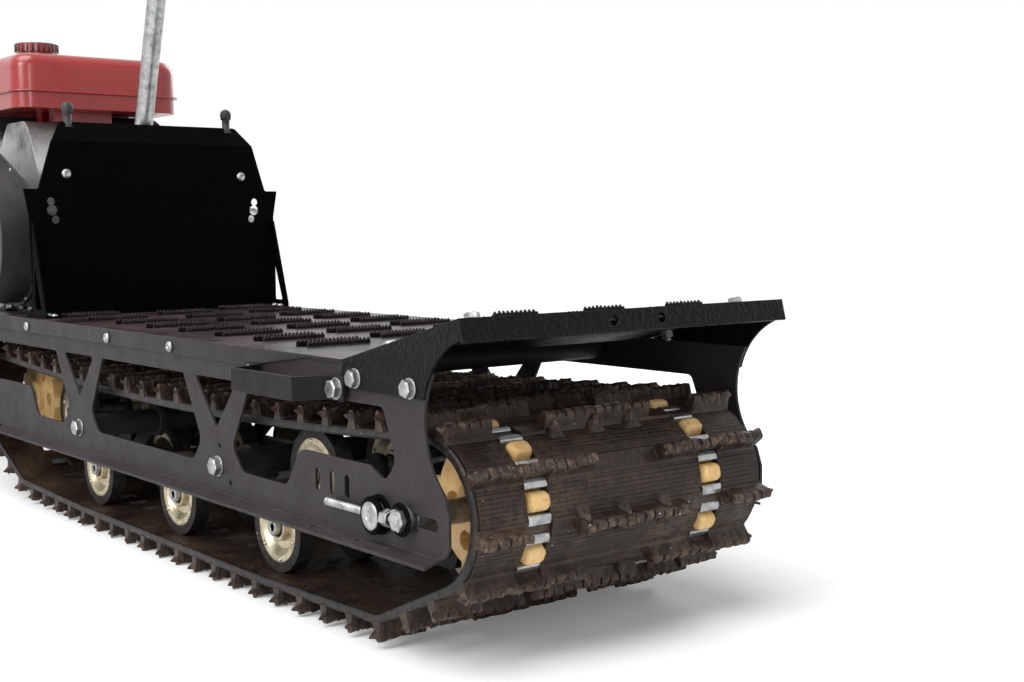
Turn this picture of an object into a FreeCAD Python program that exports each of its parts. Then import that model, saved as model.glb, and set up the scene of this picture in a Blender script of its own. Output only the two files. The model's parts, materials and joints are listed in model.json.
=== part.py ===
import FreeCAD, Part
import os
from math import acos, atan2, cos, degrees, hypot, pi, radians, sin, tan

# Compact tracked snowmobile, in millimetres: X to the right, Y forward, Z up.
# Every piece is laid out from the centre of the rear axle. save() then sets the
# machine on the ground, with the middle of its length and width at the origin.

V = FreeCAD.Vector
UP = V(0, 0, 1)
ACROSS = V(1, 0, 0)

# ---- driving dimensions -------------------------------------------------------------

# track
belt_width = 380.0
belt_thickness = 8.0
link_pitch = 50.5
link_count = 56
upper_sag = 20.0               # of the slack upper run, at its middle
sprocket_teeth = 9
lug_height = 20.0
lug_root = 17.0
lug_crest = 8.0
window_spread = 231.0          # between the two columns of windows
window_width = 28.0
window_length = 25.0
window_at = radians(168.5)     # a window centre on the rear sprocket, from +Y towards +Z

# running gear
roller_radius = 53.0
roller_hub_radius = 41.0
roller_width = 20.0
roller_drop = 68.0             # main roller axles below the rear axle
main_roller_inset = 330.0
main_roller_count = 3
end_roller_inset = 100.0
end_roller_drop = 62.0
carrier_roller_inset = 244.0   # rollers under the upper run
inner_roller_x = 55.0
outer_roller_x = 155.0
roller_axle_radius = 10.0
shaft_radius = 12.5
tooth_reach = 5.5              # sprocket tooth tip outside the belt
tooth_clearance = 3.5          # along the window, each side
sprocket_width = 24.0
rail_x = 84.0
rail_width = 18.0
rail_height = 34.0

# frame of laser-cut and folded plate
plate_thickness = 3.0
belt_side_gap = 17.0
cover_gap = 0.2                # between a side plate and the folded cover outside it
plate_top = 138.7
plate_bottom = -30.0
plate_front_reach = 125.0      # ahead of the front axle
foot_flange_out = 16.0
foot_flange_down = 8.0
cross_tube_y = 382.0
cross_tube_radius = 16.0
deck_top = 142.0
deck_rear = 105.0
deck_flange = 20.0
deck_front_reach = 62.0        # ahead of the front axle
louver_length = 90.0
louver_width = 22.0
louver_lip = 4.5               # lips standing round each deck louver
louver_lip_thickness = 2.0
louver_pitch = 98.0
louver_first = 262.0
louver_column = 127.0
ramp_louver_length = 62.0
ramp_louver_places = (-138.0, -29.0, 80.0)
stiffener_y = -58.0            # angle under the tail ramp
stiffener_z = 167.0
tail_crest_y = -87.0
tail_crest_z = 191.0
tail_flange = 22.0
wheel_arch_radius = 82.0       # concave cut round the rear end of the belt
wheel_arch_y = -110.0
wheel_arch_z = 92.0
cheek_bottom = 114.0
hitch_bore_radius = 5.5
hitch_spacing = 63.0
tensioner_thickness = 4.0
tensioner_standoff = 3.3
barrel_nut_y = 46.0
stud_end_y = 131.0
tongue_y = -64.0               # rear end of the side plate
tongue_corner = 16.0
arm_lean = 76.0                # of the suspension arms' feet ahead of the cross tubes
front_arm_lean = 88.0
step_height = 24.0
step_low = 101.0
step_reach = 43.0
step_bar = 4.0

# upright panel and engine
panel_setback = 193.0          # behind the front axle
panel_half_width = 200.0
panel_fold = 403.0             # height of the dash fold
engine_base = 215.0
crank_y = 132.0                # ahead of the front axle
crank_z = 345.0
jackshaft_y = -33.0            # ahead of the front axle
jackshaft_z = 255.0
chain_case_radius = 54.0
chain_case_width = 40.0
cylinder_x = -25.0
cylinder_lean = radians(15.0)
head_start = 168.0             # along the cylinder from the crankshaft
head_length = 34.0
head_half = 42.0

# steering and skis
rake = radians(18.0)
steering_arm = 70.0
arm_half = 4.0                 # half the thickness of a steering lever
ball_pin_radius = 5.0
eye_radius = 11.5
eye_height = 12.0
link_radius = 7.0
column_foot_y = -67.0          # ahead of the front axle
column_foot_z = 182.0
column_radius = 14.0
bar_height = 815.0
bar_half_width = 340.0
bar_radius = 11.0
lever_setback = 134.0          # of a hand lever's clamp from the bar's end
lever_clamp_half = 8.0
kingpin_x = 300.0
kingpin_y = 382.0              # ahead of the front axle
kingpin_z = 105.0
kingpin_radius = 12.0
sleeve_length = 90.0
crossbeam_radius = 21.0
ski_width = 120.0
ski_front = 520.0              # tip ahead of the ski pivot
ski_back = 330.0
ski_thickness = 8.0
keel_height = 8.0
ski_pivot_height = 50.0
ski_tip_rise = 105.0
pin_gap = 0.3                  # running clearance round pins
clamp_gap = 0.2                # round the handlebar in its grips and lever clamps


# ---- sizes worked out from them -----------------------------------------------------

belt_half = belt_width / 2
plate_in = belt_half + belt_side_gap
plate_out = plate_in + plate_thickness
cover_in = plate_out + cover_gap
cover_out = cover_in + plate_thickness
pitch_radius = link_pitch * sprocket_teeth / (2 * pi)
ground = -(roller_drop + roller_radius + belt_thickness + lug_height)
rake_axis = V(0, -sin(rake), cos(rake))
rake_ahead = V(0, cos(rake), sin(rake))


# ---- shape helpers ------------------------------------------------------------------

def box(x0, x1, y0, y1, z0, z1):
    return Part.makeBox(x1 - x0, y1 - y0, z1 - z0, V(x0, y0, z0))


def rod(start, end, radius):
    return Part.makeCylinder(radius, (end - start).Length, start, end - start)


def disc_x(x0, x1, y, z, radius):
    return Part.makeCylinder(radius, x1 - x0, V(x0, y, z), ACROSS)


def hex_x(x0, x1, y, z, across_flats):
    corner = across_flats / 3 ** 0.5
    points = [V(x0, y + corner * cos(k * pi / 3), z + corner * sin(k * pi / 3)) for k in range(7)]
    return Part.Face(Part.makePolygon(points)).extrude(V(x1 - x0, 0, 0))


def outline(points):
    """Closed wire in the UV plane through (u, v) corners; (u, v, r) rounds that corner."""
    corners = [(V(p[0], p[1], 0), p[2] if len(p) > 2 else 0.0) for p in points]
    edges = []
    ends = []
    for i, (corner, radius) in enumerate(corners):
        before = (corners[i - 1][0] - corner).normalize()
        after = (corners[(i + 1) % len(corners)][0] - corner).normalize()
        if radius == 0.0:
            ends.append((corner, corner, None))
            continue
        half = before.getAngle(after) / 2
        start = corner + before * (radius / tan(half))
        end = corner + after * (radius / tan(half))
        centre = corner + (before + after).normalize() * (radius / sin(half))
        middle = centre + (corner - centre).normalize() * radius
        ends.append((start, end, middle))
    for i, (start, end, middle) in enumerate(ends):
        if middle is not None:
            edges.append(Part.Arc(start, middle, end).toShape())
        following = ends[(i + 1) % len(ends)][0]
        if (following - end).Length > 1e-6:
            edges.append(Part.makeLine(end, following))
    return Part.Wire(edges)


def lay(wire, plane):
    """Turn a wire drawn in XY into the plane "yz", "xz" or "xy"."""
    if plane == "xz":
        wire.rotate(V(0, 0, 0), ACROSS, 90)
    if plane == "yz":
        wire.rotate(V(0, 0, 0), V(1, 1, 1), 120)
    return wire


def slab(points, plane, low, high):
    """Solid with the outline in a plane, from low to high along the third axis."""
    face = Part.Face(lay(outline(points), plane))
    along = {"yz": ACROSS, "xz": V(0, 1, 0), "xy": UP}[plane]
    face.translate(along * low)
    return face.extrude(along * (high - low))


def mirrored(shape):
    return shape.mirror(V(0, 0, 0), ACROSS)


def both_sides(shape):
    return [shape, mirrored(shape)]


def joined(shapes):
    return shapes[0].multiFuse(shapes[1:]).removeSplitter()


def bent_tube(points, radius, bend):
    """Round bar along straight runs with equal bends at the inner points."""
    edges = []
    start = points[0]
    for before, corner, after in zip(points, points[1:], points[2:]):
        back = (before - corner).normalize()
        on = (after - corner).normalize()
        half = back.getAngle(on) / 2
        arc_start = corner + back * (bend / tan(half))
        arc_end = corner + on * (bend / tan(half))
        centre = corner + (back + on).normalize() * (bend / sin(half))
        middle = centre + (corner - centre).normalize() * bend
        edges.append(Part.makeLine(start, arc_start))
        edges.append(Part.Arc(arc_start, middle, arc_end).toShape())
        start = arc_end
    edges.append(Part.makeLine(start, points[-1]))
    circle = Part.Wire(Part.makeCircle(radius, points[0], points[1] - points[0]))
    return Part.Wire(edges).makePipeShell([circle], True, True)


def strip(points, thickness, low, high):
    """Flat bar bent in plan: its outer face follows the (x, y) points."""
    path = [V(x, y, 0) for x, y in points]
    inner = []
    for i, corner in enumerate(path):
        normals = []
        if i > 0:
            run = (corner - path[i - 1]).normalize()
            normals.append(V(-run.y, run.x, 0))
        if i < len(path) - 1:
            run = (path[i + 1] - corner).normalize()
            normals.append(V(-run.y, run.x, 0))
        mean = normals[0] + normals[-1]
        mean.normalize()
        inner.append(corner + mean * (thickness / mean.dot(normals[0])))
    ring = path + inner[::-1]
    face = Part.Face(Part.makePolygon(ring + ring[:1]))
    face.translate(V(0, 0, low))
    return face.extrude(V(0, 0, high - low))


# ---- path of the belt ---------------------------------------------------------------

def loop_circles(distance):
    """Circles that the middle of the belt wraps, anticlockwise seen from +X.

    The last one, of negative radius, is passed the other way round: the sag of the upper run.
    """
    wrap = roller_radius + belt_thickness / 2
    step = (distance - 2 * main_roller_inset) / (main_roller_count - 1)
    mains = [(main_roller_inset + k * step, -roller_drop, wrap) for k in range(main_roller_count)]
    first = (end_roller_inset, -end_roller_drop, wrap)
    last = (distance - end_roller_inset, -end_roller_drop, wrap)
    sag_radius = distance ** 2 / (8 * upper_sag) - 2 * pitch_radius
    sag = (distance / 2, pitch_radius - upper_sag + sag_radius, -sag_radius)
    return [(0.0, 0.0, pitch_radius), first, *mains, last, (distance, 0.0, pitch_radius), sag]


def loop_runs(circles):
    """For each circle: where the belt meets it, the angle it wraps and the run after it."""
    leaving = []
    for i, (y, z, r) in enumerate(circles):
        y2, z2, r2 = circles[(i + 1) % len(circles)]
        gap = hypot(y2 - y, z2 - z)
        leaving.append((atan2(z2 - z, y2 - y) - acos((r - r2) / gap), gap, r - r2))
    runs = []
    for i, circle in enumerate(circles):
        wrapped = (leaving[i][0] - leaving[i - 1][0]) % (2 * pi)
        if circle[2] < 0:
            wrapped -= 2 * pi
        run = (leaving[i][1] ** 2 - leaving[i][2] ** 2) ** 0.5
        runs.append((circle, leaving[i - 1][0], wrapped, run))
    return runs


def loop_length(distance):
    return sum(circle[2] * wrapped + run for circle, start, wrapped, run in loop_runs(loop_circles(distance)))


def rim(circle, angle, offset=0.0):
    y, z, r = circle
    return V(0, y + (r + offset) * cos(angle), z + (r + offset) * sin(angle))


def loop_wire(runs, offset):
    """The belt's path, moved outward by the offset."""
    edges = []
    for i, (circle, start, wrapped, run) in enumerate(runs):
        end = start + wrapped
        a, b, c = (rim(circle, angle, offset) for angle in (start, start + wrapped / 2, end))
        if abs(wrapped) > 1e-6:
            edges.append(Part.Arc(a, b, c).toShape())
        following = runs[(i + 1) % len(runs)]
        edges.append(Part.makeLine(c, rim(following[0], following[1], offset)))
    return Part.Wire(edges)


def station(runs, travel):
    """Point on the belt and its outward angle, at a distance from the reference window."""
    travel += runs[0][0][2] * ((window_at - runs[0][1]) % (2 * pi))
    travel %= sum(circle[2] * wrapped + run for circle, start, wrapped, run in runs)
    for circle, start, wrapped, run in runs:
        arc = circle[2] * wrapped
        if travel < arc:
            angle = start + travel / circle[2]
            return rim(circle, angle), angle
        travel -= arc
        if travel < run:
            angle = start + wrapped
            return rim(circle, angle) + V(0, -sin(angle), cos(angle)) * travel, angle
        travel -= run


def stand_on_belt(shape, point, angle):
    """Turn a shape made with +Y outward so that it stands on the belt at a station."""
    shape.rotate(V(0, 0, 0), ACROSS, degrees(angle))
    shape.translate(point)
    return shape


front = 1000.0
for trial in range(4):
    front += (link_count * link_pitch - loop_length(front)) / 2
circles = loop_circles(front)
runs = loop_runs(circles)
roller_axles_at = [(circle[0], circle[1]) for circle in circles[1:-2]]


def upper_run_z(y):
    """Height of the belt's middle over the carrier rollers."""
    centre_y, centre_z, radius = circles[-1]
    return centre_z - (radius ** 2 - (y - centre_y) ** 2) ** 0.5


carrier_z = upper_run_z(carrier_roller_inset) - belt_thickness / 2 - roller_radius
carriers_at = [(carrier_roller_inset, carrier_z), (front - carrier_roller_inset, carrier_z)]

kingpin = V(kingpin_x, front + kingpin_y, kingpin_z)
column_foot = V(0, front + column_foot_y, column_foot_z)
leg_length = (kingpin_z - (ground + ski_pivot_height)) / cos(rake)
ski_pivot = kingpin - rake_axis * leg_length
ski_tip_y = ski_pivot.y + ski_front
tail_slope = atan2(tail_crest_z - deck_top, deck_rear - tail_crest_y)
tail_rear_y = tail_crest_y - tail_flange * sin(tail_slope)
rear_end_y = min(tail_rear_y, -(pitch_radius + belt_thickness / 2 + lug_height))
middle_y = (ski_tip_y + rear_end_y) / 2
to_row = V(0, -middle_y, -ground)


# ---- track --------------------------------------------------------------------------

def track():
    """Rubber belt with windows for the teeth and lug rows of three and two blocks in turn."""
    outer = Part.Face(loop_wire(runs, belt_thickness / 2)).extrude(ACROSS * belt_width)
    inner = Part.Face(loop_wire(runs, -belt_thickness / 2)).extrude(ACROSS * belt_width)
    belt = outer.cut(inner)
    belt.translate(ACROSS * -belt_half)
    windows = []
    lugs = []
    for k in range(link_count):
        point, angle = station(runs, k * link_pitch)
        for x in (-window_spread / 2, window_spread / 2):
            hole = box(x - window_width / 2, x + window_width / 2, -belt_thickness, belt_thickness,
                       -window_length / 2, window_length / 2)
            windows.append(stand_on_belt(hole, point, angle))
        point, angle = station(runs, (k + 0.5) * link_pitch)
        rows = ((-190, -135), (-70, 70), (135, 190)) if k % 2 == 0 else ((-190, -45), (45, 190))
        for x0, x1 in rows:
            scale = belt_width / 380.0
            lugs.append(stand_on_belt(lug(x0 * scale, x1 * scale), point, angle))
    return belt.cut(Part.makeCompound(windows)).multiFuse(lugs)


def lug(x0, x1):
    foot = belt_thickness / 4
    top = belt_thickness / 2 + lug_height
    return Part.makeWedge(x0, foot, -lug_root / 2, -lug_crest / 2, x0 + 4, x1, top, lug_root / 2,
                          lug_crest / 2, x1 - 4)


def sprocket(y, tooth_angle):
    """Toothed polyamide wheel under one column of windows, drawn at x = 0."""
    tip = pitch_radius + belt_thickness / 2 + tooth_reach
    rim_radius = pitch_radius - belt_thickness / 2 - 2.5
    half = sprocket_width / 2
    body = disc_x(-half, half, y, 0, rim_radius)
    root = window_length - 2 * tooth_clearance + 4
    teeth = []
    for k in range(sprocket_teeth):
        tooth = Part.makeWedge(-half, rim_radius - 6, -root / 2, -root / 4, -half + 2, half, tip, root / 2,
                               root / 4, half - 2)
        teeth.append(stand_on_belt(tooth, V(0, y, 0), tooth_angle + 2 * pi * k / sprocket_teeth))
    holes = [disc_x(-half, half, y + 42 * cos(a), 42 * sin(a), 10) for a in [pi * k / 3 for k in range(6)]]
    hub = disc_x(-half - 8, half + 8, y, 0, 26)
    bore = disc_x(-half - 8, half + 8, y, 0, shaft_radius)
    return joined([body, hub] + teeth).cut(Part.makeCompound(holes + [bore]))


def sprocket_pair(y, tooth_angle):
    wheel = sprocket(y, tooth_angle)
    pair = []
    for x in (-window_spread / 2, window_spread / 2):
        copy = wheel.copy()
        copy.translate(ACROSS * x)
        pair.append(copy)
    return Part.makeCompound(pair)


def front_tooth_angle():
    """Angle at which a window centre lies on the front sprocket."""
    circle, start, wrapped, run = runs[-2]
    for k in range(link_count):
        point, angle = station(runs, k * link_pitch)
        if abs(hypot(point.y - front, point.z) - pitch_radius) < 0.01 and start < angle < start + wrapped:
            return angle


# ---- shafts and rollers -------------------------------------------------------------

def rear_shaft():
    """Shaft between the plates, held by bolts that slide in the plates' slots."""
    shaft = disc_x(-plate_in, plate_in, 0, 0, shaft_radius)
    eye_out = plate_out + tensioner_standoff + tensioner_thickness + 0.3
    bolt = [
        disc_x(0, eye_out + 8, 0, 0, 5.8),
        disc_x(eye_out, eye_out + 1.5, 0, 0, 15),
        hex_x(eye_out + 1.5, eye_out + 7, 0, 0, 19),
    ]
    return joined([shaft] + bolt + [mirrored(piece) for piece in bolt])


def tensioner():
    """Strap eye on the axle, its stud drawn forward through a barrel nut in the side plate."""
    x0 = plate_out + tensioner_standoff
    x1 = x0 + tensioner_thickness
    stud_x = plate_out + 7.3
    spacer = disc_x(plate_out + 0.3, x0, 0, 0, 11)
    eye = disc_x(x0, x1, 0, 0, 13.5)
    strap = box(x0, x1, 0, 24, -9, 5)
    shank = rod(V(stud_x, 16, -2), V(stud_x, stud_end_y, -2), 3.9)
    nuts = Part.makeCylinder(7, 11, V(stud_x, 17, -2), V(0, 1, 0))
    barrel = disc_x(plate_in, stud_x + 5, barrel_nut_y, -3, 13.7)
    solid = joined([spacer, eye, strap, shank, nuts, barrel])
    return solid.cut(disc_x(plate_out, x1 + 1, 0, 0, 6.0))


def roller_positions():
    """Middle of every roller: inner pairs on all axles, outer pairs on all but the end ones."""
    ends = (roller_axles_at[0], roller_axles_at[-1])
    places = []
    for y, z in roller_axles_at + carriers_at:
        for x in (inner_roller_x,) if (y, z) in ends else (inner_roller_x, outer_roller_x):
            places += [(x, y, z), (-x, y, z)]
    return places


def roller_hub(x, y, z):
    half = roller_width / 2
    outward = 1 if x > 0 else -1
    disc = disc_x(x - half, x + half, y, z, roller_hub_radius)
    dish = Part.makeCone(34, 26, half - 3, V(x + outward * half, y, z), ACROSS * -outward)
    back = Part.makeCone(34, 26, half - 3, V(x - outward * half, y, z), ACROSS * outward)
    hub = disc_x(x - half, x + half, y, z, 17)
    bore = disc_x(x - half, x + half, y, z, roller_axle_radius)
    return disc.cut(dish).cut(back).fuse(hub).cut(bore)


def roller_tyre(x, y, z):
    half = roller_width / 2
    tyre = disc_x(x - half, x + half, y, z, roller_radius - 0.3)
    return tyre.cut(disc_x(x - half, x + half, y, z, roller_hub_radius))


def roller_axle(y, z, is_main):
    reach = (outer_roller_x if is_main else rail_x) + roller_width / 2 + 6
    return disc_x(-reach, reach, y, z, roller_axle_radius)


def suspension_rail():
    """Side rail of the roller carriage, cut away between the axles."""
    x0 = rail_x - rail_width / 2
    first, last = roller_axles_at[0], roller_axles_at[-1]
    low = -roller_drop - rail_height / 2
    high = -end_roller_drop + rail_height / 2
    rail = slab([(first[0] - 17, low, 14), (last[0] + 17, low, 14), (last[0] + 17, high, 14),
                 (first[0] - 17, high, 14)], "yz", x0, x0 + rail_width)
    bores = [disc_x(x0, x0 + rail_width, y, z, roller_axle_radius) for y, z in roller_axles_at]
    slots = []
    for (y0, z0), (y1, z1) in zip(roller_axles_at, roller_axles_at[1:]):
        slots.append(slab([(y0 + 40, -74, 7), (y1 - 40, -74, 7), (y1 - 40, -58, 7), (y0 + 40, -58, 7)],
                          "yz", x0, x0 + rail_width))
    brackets = []
    for y, z in carriers_at:
        brackets.append(slab([(y - 26, high - 4), (y + 26, high - 4), (y + 15, z + 15, 12), (y - 15, z + 15, 12)],
                             "yz", x0 + 5, x0 + rail_width - 5))
        bores.append(disc_x(x0, x0 + rail_width, y, z, roller_axle_radius))
    return rail.multiFuse(brackets).cut(Part.makeCompound(bores + slots))


def suspension_arm(y_tube, y_foot):
    """Link from a cross tube down to the outside of the rail, with its pivot pin."""
    x0 = rail_x + rail_width / 2
    x1 = x0 + 8
    foot_z = -end_roller_drop
    boss = disc_x(x0, x1, y_tube, 0, cross_tube_radius + 7)
    foot = disc_x(x0, x1, y_foot, foot_z, 14)
    lean = (V(0, y_foot - y_tube, foot_z)).normalize()
    side = V(0, -lean.z, lean.y) * 12
    top = V(x0, y_tube, 0)
    low = V(x0, y_foot, foot_z)
    web = Part.Face(Part.makePolygon([top + side, top - side, low - side, low + side, top + side]))
    pin = disc_x(x0, x1 + 6, y_foot, foot_z, 8)
    solid = joined([boss, foot, web.extrude(ACROSS * (x1 - x0)), pin])
    return solid.cut(disc_x(x0, x1, y_tube, 0, cross_tube_radius))


# ---- frame --------------------------------------------------------------------------

def plate_openings():
    """Rear window, strut triangle, middle window and their mirror images in the side plate."""
    tube = cross_tube_y
    rear = [(tube - 57, 0, 20), (tube - 35, 26, 16), (tube - 79, 101, 3), (40, 101, 8), (18, 50, 18), (38, 30, 10),
            (65, 42, 8), (tube - 185, 42, 16), (tube - 158, 0, 16)]
    triangle = [(tube - 49, 101, 4), (tube + 3, 43, 3), (tube + 55, 101, 4)]
    middle = [(tube + 63, 0, 20), (tube + 41, 26, 16), (tube + 85, 101, 3)]
    middle_window = middle[::-1] + [(front - y, z, r) for y, z, r in middle]
    shapes = [rear, triangle, middle_window]
    shapes += [[(front - y, z, r) for y, z, r in points] for points in (rear, triangle)]
    return shapes


def plate_marks():
    """Three plain slots behind the barrel nut and two service holes at the cross tube."""
    cuts = []
    for y in (106, 134, 162):
        cuts.append(slab([(y - 4.5, 3, 4.4), (y + 4.5, 3, 4.4), (y + 4.5, 27, 4.4), (y - 4.5, 27, 4.4)], "yz",
                         plate_in, plate_out))
    for y, z in ((cross_tube_y - 4, 24), (cross_tube_y - 29, -16)):
        cuts.append(disc_x(plate_in, plate_out, y, z, 3.2))
    return cuts


def side_plate():
    """Laser-cut side of the track unit with its bottom edge folded outward."""
    nose = front + plate_front_reach
    arch = [V(0, wheel_arch_y + wheel_arch_radius * cos(a), wheel_arch_z + wheel_arch_radius * sin(a))
            for a in (radians(34.0), radians(-8.0), radians(-50.0))]
    round_y = tongue_y + tongue_corner
    round_z = plate_bottom + tongue_corner
    diagonal = tongue_corner * cos(pi / 4)
    corners = [V(0, round_y, plate_bottom), V(0, nose, plate_bottom), V(0, nose, plate_top - 30),
               V(0, nose - 30, plate_top), V(0, 60, plate_top), arch[0]]
    edges = [Part.makeLine(a, b) for a, b in zip(corners, corners[1:])]
    edges.append(Part.Arc(arch[0], arch[1], arch[2]).toShape())
    corners = [arch[2], V(0, tongue_y, 10), V(0, tongue_y, round_z)]
    edges += [Part.makeLine(a, b) for a, b in zip(corners, corners[1:])]
    edges.append(Part.Arc(corners[-1], V(0, round_y - diagonal, round_z - diagonal),
                          V(0, round_y, plate_bottom)).toShape())
    blank = Part.Face(Part.Wire(edges))
    blank.translate(ACROSS * plate_in)
    sheet = blank.extrude(ACROSS * plate_thickness)
    cuts = [slab(points, "yz", plate_in, plate_out) for points in plate_openings()] + plate_marks()
    cuts.append(slab([(-48, -6, 5.9), (22, -6, 5.9), (22, 6, 5.9), (-48, 6, 5.9)], "yz", plate_in, plate_out))
    cuts.append(disc_x(plate_in, plate_out, barrel_nut_y, -3, 14))
    cuts.append(disc_x(plate_in, plate_out, front, 0, shaft_radius + 2))
    flange = slab([(plate_in, plate_bottom), (plate_out, plate_bottom),
                   (plate_out + foot_flange_out, plate_bottom - foot_flange_down + 3),
                   (plate_out + foot_flange_out, plate_bottom - foot_flange_down),
                   (plate_in, plate_bottom - 2)], "xz", round_y,
                  front - chain_case_radius - 12)
    drains = [box(plate_out + 5, plate_out + 9, y0, y1, plate_bottom - 20, plate_bottom + 5)
              for y0, y1 in ((25, 80), (105, 165))]
    return sheet.cut(Part.makeCompound(cuts)).fuse(flange.cut(Part.makeCompound(drains)))


def cross_tubes():
    """Tubes bolted between the side plates: two low ones for the carriage, three under the deck."""
    tubes = [disc_x(-plate_in, plate_in, y, 0, cross_tube_radius) for y in (cross_tube_y, front - cross_tube_y)]
    for y in (200, front / 2, front - 200):
        tubes.append(disc_x(-plate_in, plate_in, y, 121, 12))
    return Part.makeCompound(tubes)


def louver(length):
    """Slot cutter and the two lips beside it, drawn on the XY plane with +Z out of the sheet."""
    half, wide, cut = length / 2, louver_width / 2, 5.0
    ring = [(half - cut, -wide), (half, cut - wide), (half, wide - cut), (half - cut, wide), (cut - half, wide),
            (-half, wide - cut), (-half, cut - wide), (cut - half, -wide)]
    slot = slab(ring, "xy", -2 * plate_thickness, plate_thickness)
    lips = []
    for side in (-1, 1):
        y0 = side * (wide + louver_lip_thickness / 2) - louver_lip_thickness / 2
        lips.append(box(cut - half, half - cut, y0, y0 + louver_lip_thickness, -1, louver_lip))
    return slot, lips


def deck_louvers():
    """Places of the deck louvers: two side columns and a staggered middle one."""
    last = front - panel_setback - louver_width
    places = []
    y = louver_first
    while y < last:
        places += [(-louver_column, y), (louver_column, y)]
        if y + louver_pitch / 2 < last:
            places.append((0, y + louver_pitch / 2))
        y += louver_pitch
    return places


def deck():
    """Folded deck plate with its louvers, and side flanges that taper away to the rear."""
    deck_front = front + deck_front_reach
    sheet = box(-cover_out, cover_out, deck_rear, deck_front, deck_top - plate_thickness, deck_top)
    flange = slab([(deck_rear + 55, deck_top - 1), (deck_rear + 195, deck_top - deck_flange),
                   (deck_front, deck_top - deck_flange), (deck_front, deck_top - 1)], "yz", cover_in, cover_out)
    slots = []
    lips = []
    for x, y in deck_louvers():
        slot, pair = louver(louver_length)
        for piece in [slot] + pair:
            piece.translate(V(x, y, deck_top))
        slots.append(slot)
        lips += pair
    return joined([sheet.cut(Part.makeCompound(slots))] + both_sides(flange) + lips)


def tail_louvers():
    """Slots and lips of the ramp's louvers, one row near the crest and one near the deck."""
    slots = []
    lips = []
    for from_crest in (26, 124):
        for x in ramp_louver_places:
            slot, pair = louver(ramp_louver_length)
            for piece in [slot] + pair:
                piece.rotate(V(0, 0, 0), ACROSS, -degrees(tail_slope))
                piece.translate(V(x, tail_crest_y + from_crest * cos(tail_slope),
                                  tail_crest_z - from_crest * sin(tail_slope)))
            slots.append(slot)
            lips += pair
    return slots, lips


def tail_stiffener():
    """Angle across the tail, under the ramp."""
    roof = tail_crest_z - (stiffener_y - tail_crest_y) * tan(tail_slope) - plate_thickness
    half = cover_in + 1
    web = box(-half, half, stiffener_y, stiffener_y + plate_thickness, stiffener_z, roof)
    foot = box(-half, half, stiffener_y - 18, stiffener_y + 1, stiffener_z, stiffener_z + plate_thickness)
    return [web, foot]


def tail():
    """Kicked-up rear end: ramp with louvers, rear flange with the hitch bores, and the cheeks."""
    ramp_run = V(0, -cos(tail_slope), sin(tail_slope))
    down = V(0, -sin(tail_slope), -cos(tail_slope))
    low = V(-cover_out, deck_rear, deck_top)
    crest = V(-cover_out, tail_crest_y, tail_crest_z)
    thick = down * plate_thickness
    lip = crest + down * tail_flange
    section = [low, crest, lip, lip - ramp_run * plate_thickness,
               crest + thick - ramp_run * plate_thickness, low + thick, low]
    fold = Part.Face(Part.makePolygon(section)).extrude(ACROSS * 2 * cover_out)
    a0 = atan2(lip.z - wheel_arch_z, lip.y - wheel_arch_y)
    a1 = atan2(cheek_bottom - wheel_arch_z, 79.0)
    arch = [V(cover_in, wheel_arch_y + wheel_arch_radius * cos(a), wheel_arch_z + wheel_arch_radius * sin(a))
            for a in (a0, (a0 + a1) / 2, a1)]
    corners = [arch[2], V(cover_in, deck_rear + 3, cheek_bottom),
               V(cover_in, deck_rear + 1, deck_top - plate_thickness - cover_gap),
               V(cover_in, deck_rear - 1, deck_top - plate_thickness - cover_gap),
               V(cover_in, tail_crest_y, tail_crest_z - 1), arch[0]]
    edges = [Part.makeLine(a, b) for a, b in zip(corners, corners[1:])]
    edges.append(Part.Arc(arch[0], arch[1], arch[2]).toShape())
    cheek = Part.Face(Part.Wire(edges)).extrude(ACROSS * plate_thickness)
    centre = V(0, tail_crest_y, tail_crest_z) + down * (tail_flange / 2)
    cuts, lips = tail_louvers()
    for x in (-hitch_spacing / 2, hitch_spacing / 2):
        start = V(x, centre.y, centre.z) + ramp_run * 2
        cuts.append(rod(start, start - ramp_run * (plate_thickness + 4), hitch_bore_radius))
    plates = [fold] + both_sides(cheek) + tail_stiffener()
    return joined([joined(plates).cut(Part.makeCompound(cuts))] + lips)


def step_loop():
    """Flat bar bent into a foot step outside the side plate, bolted on at both ends."""
    x0 = cover_out + 0.3
    x1 = plate_out + step_reach
    return strip([(x0 + step_bar, 98), (x0 + step_bar, 122), (x1, 136), (x1, 262), (x0 + step_bar, 276),
                  (x0 + step_bar, 300)], step_bar, step_low, step_low + step_height)


# ---- upright, drive and engine ------------------------------------------------------

def upright_panel():
    """Folded upright behind the engine with its dash face leaning forward at the top."""
    y0 = front - panel_setback
    y1 = y0 + plate_thickness
    half = [(panel_half_width, deck_top), (panel_half_width + 2, 290, 20), (209, 331), (187, 331, 4),
            (165, panel_fold)]
    points = half + [(-p[0],) + tuple(p[1:]) for p in half[::-1]]
    sheet = slab(points, "xz", y0, y1)
    holes = []
    for side in (-1, 1):
        for x, z, r in ((168, 313, 6), (167, 300, 8), (162, 286, 6)):
            holes.append(Part.makeCylinder(r, plate_thickness, V(side * x, y0, z), V(0, 1, 0)))
    dash = Part.Face(lay(outline([(165, 0), (145, 36, 8), (-145, 36, 8), (-165, 0)]), "xy"))
    dash = dash.extrude(UP * plate_thickness)
    dash.rotate(V(0, 0, 0), ACROSS, 55)
    dash.translate(V(0, y0 + plate_thickness * sin(radians(55)), panel_fold - plate_thickness * cos(radians(55))))
    feet = box(-panel_half_width, panel_half_width, y0, y0 + 30, deck_top, deck_top + plate_thickness)
    return joined([sheet.cut(Part.makeCompound(holes)), dash, feet])


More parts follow.
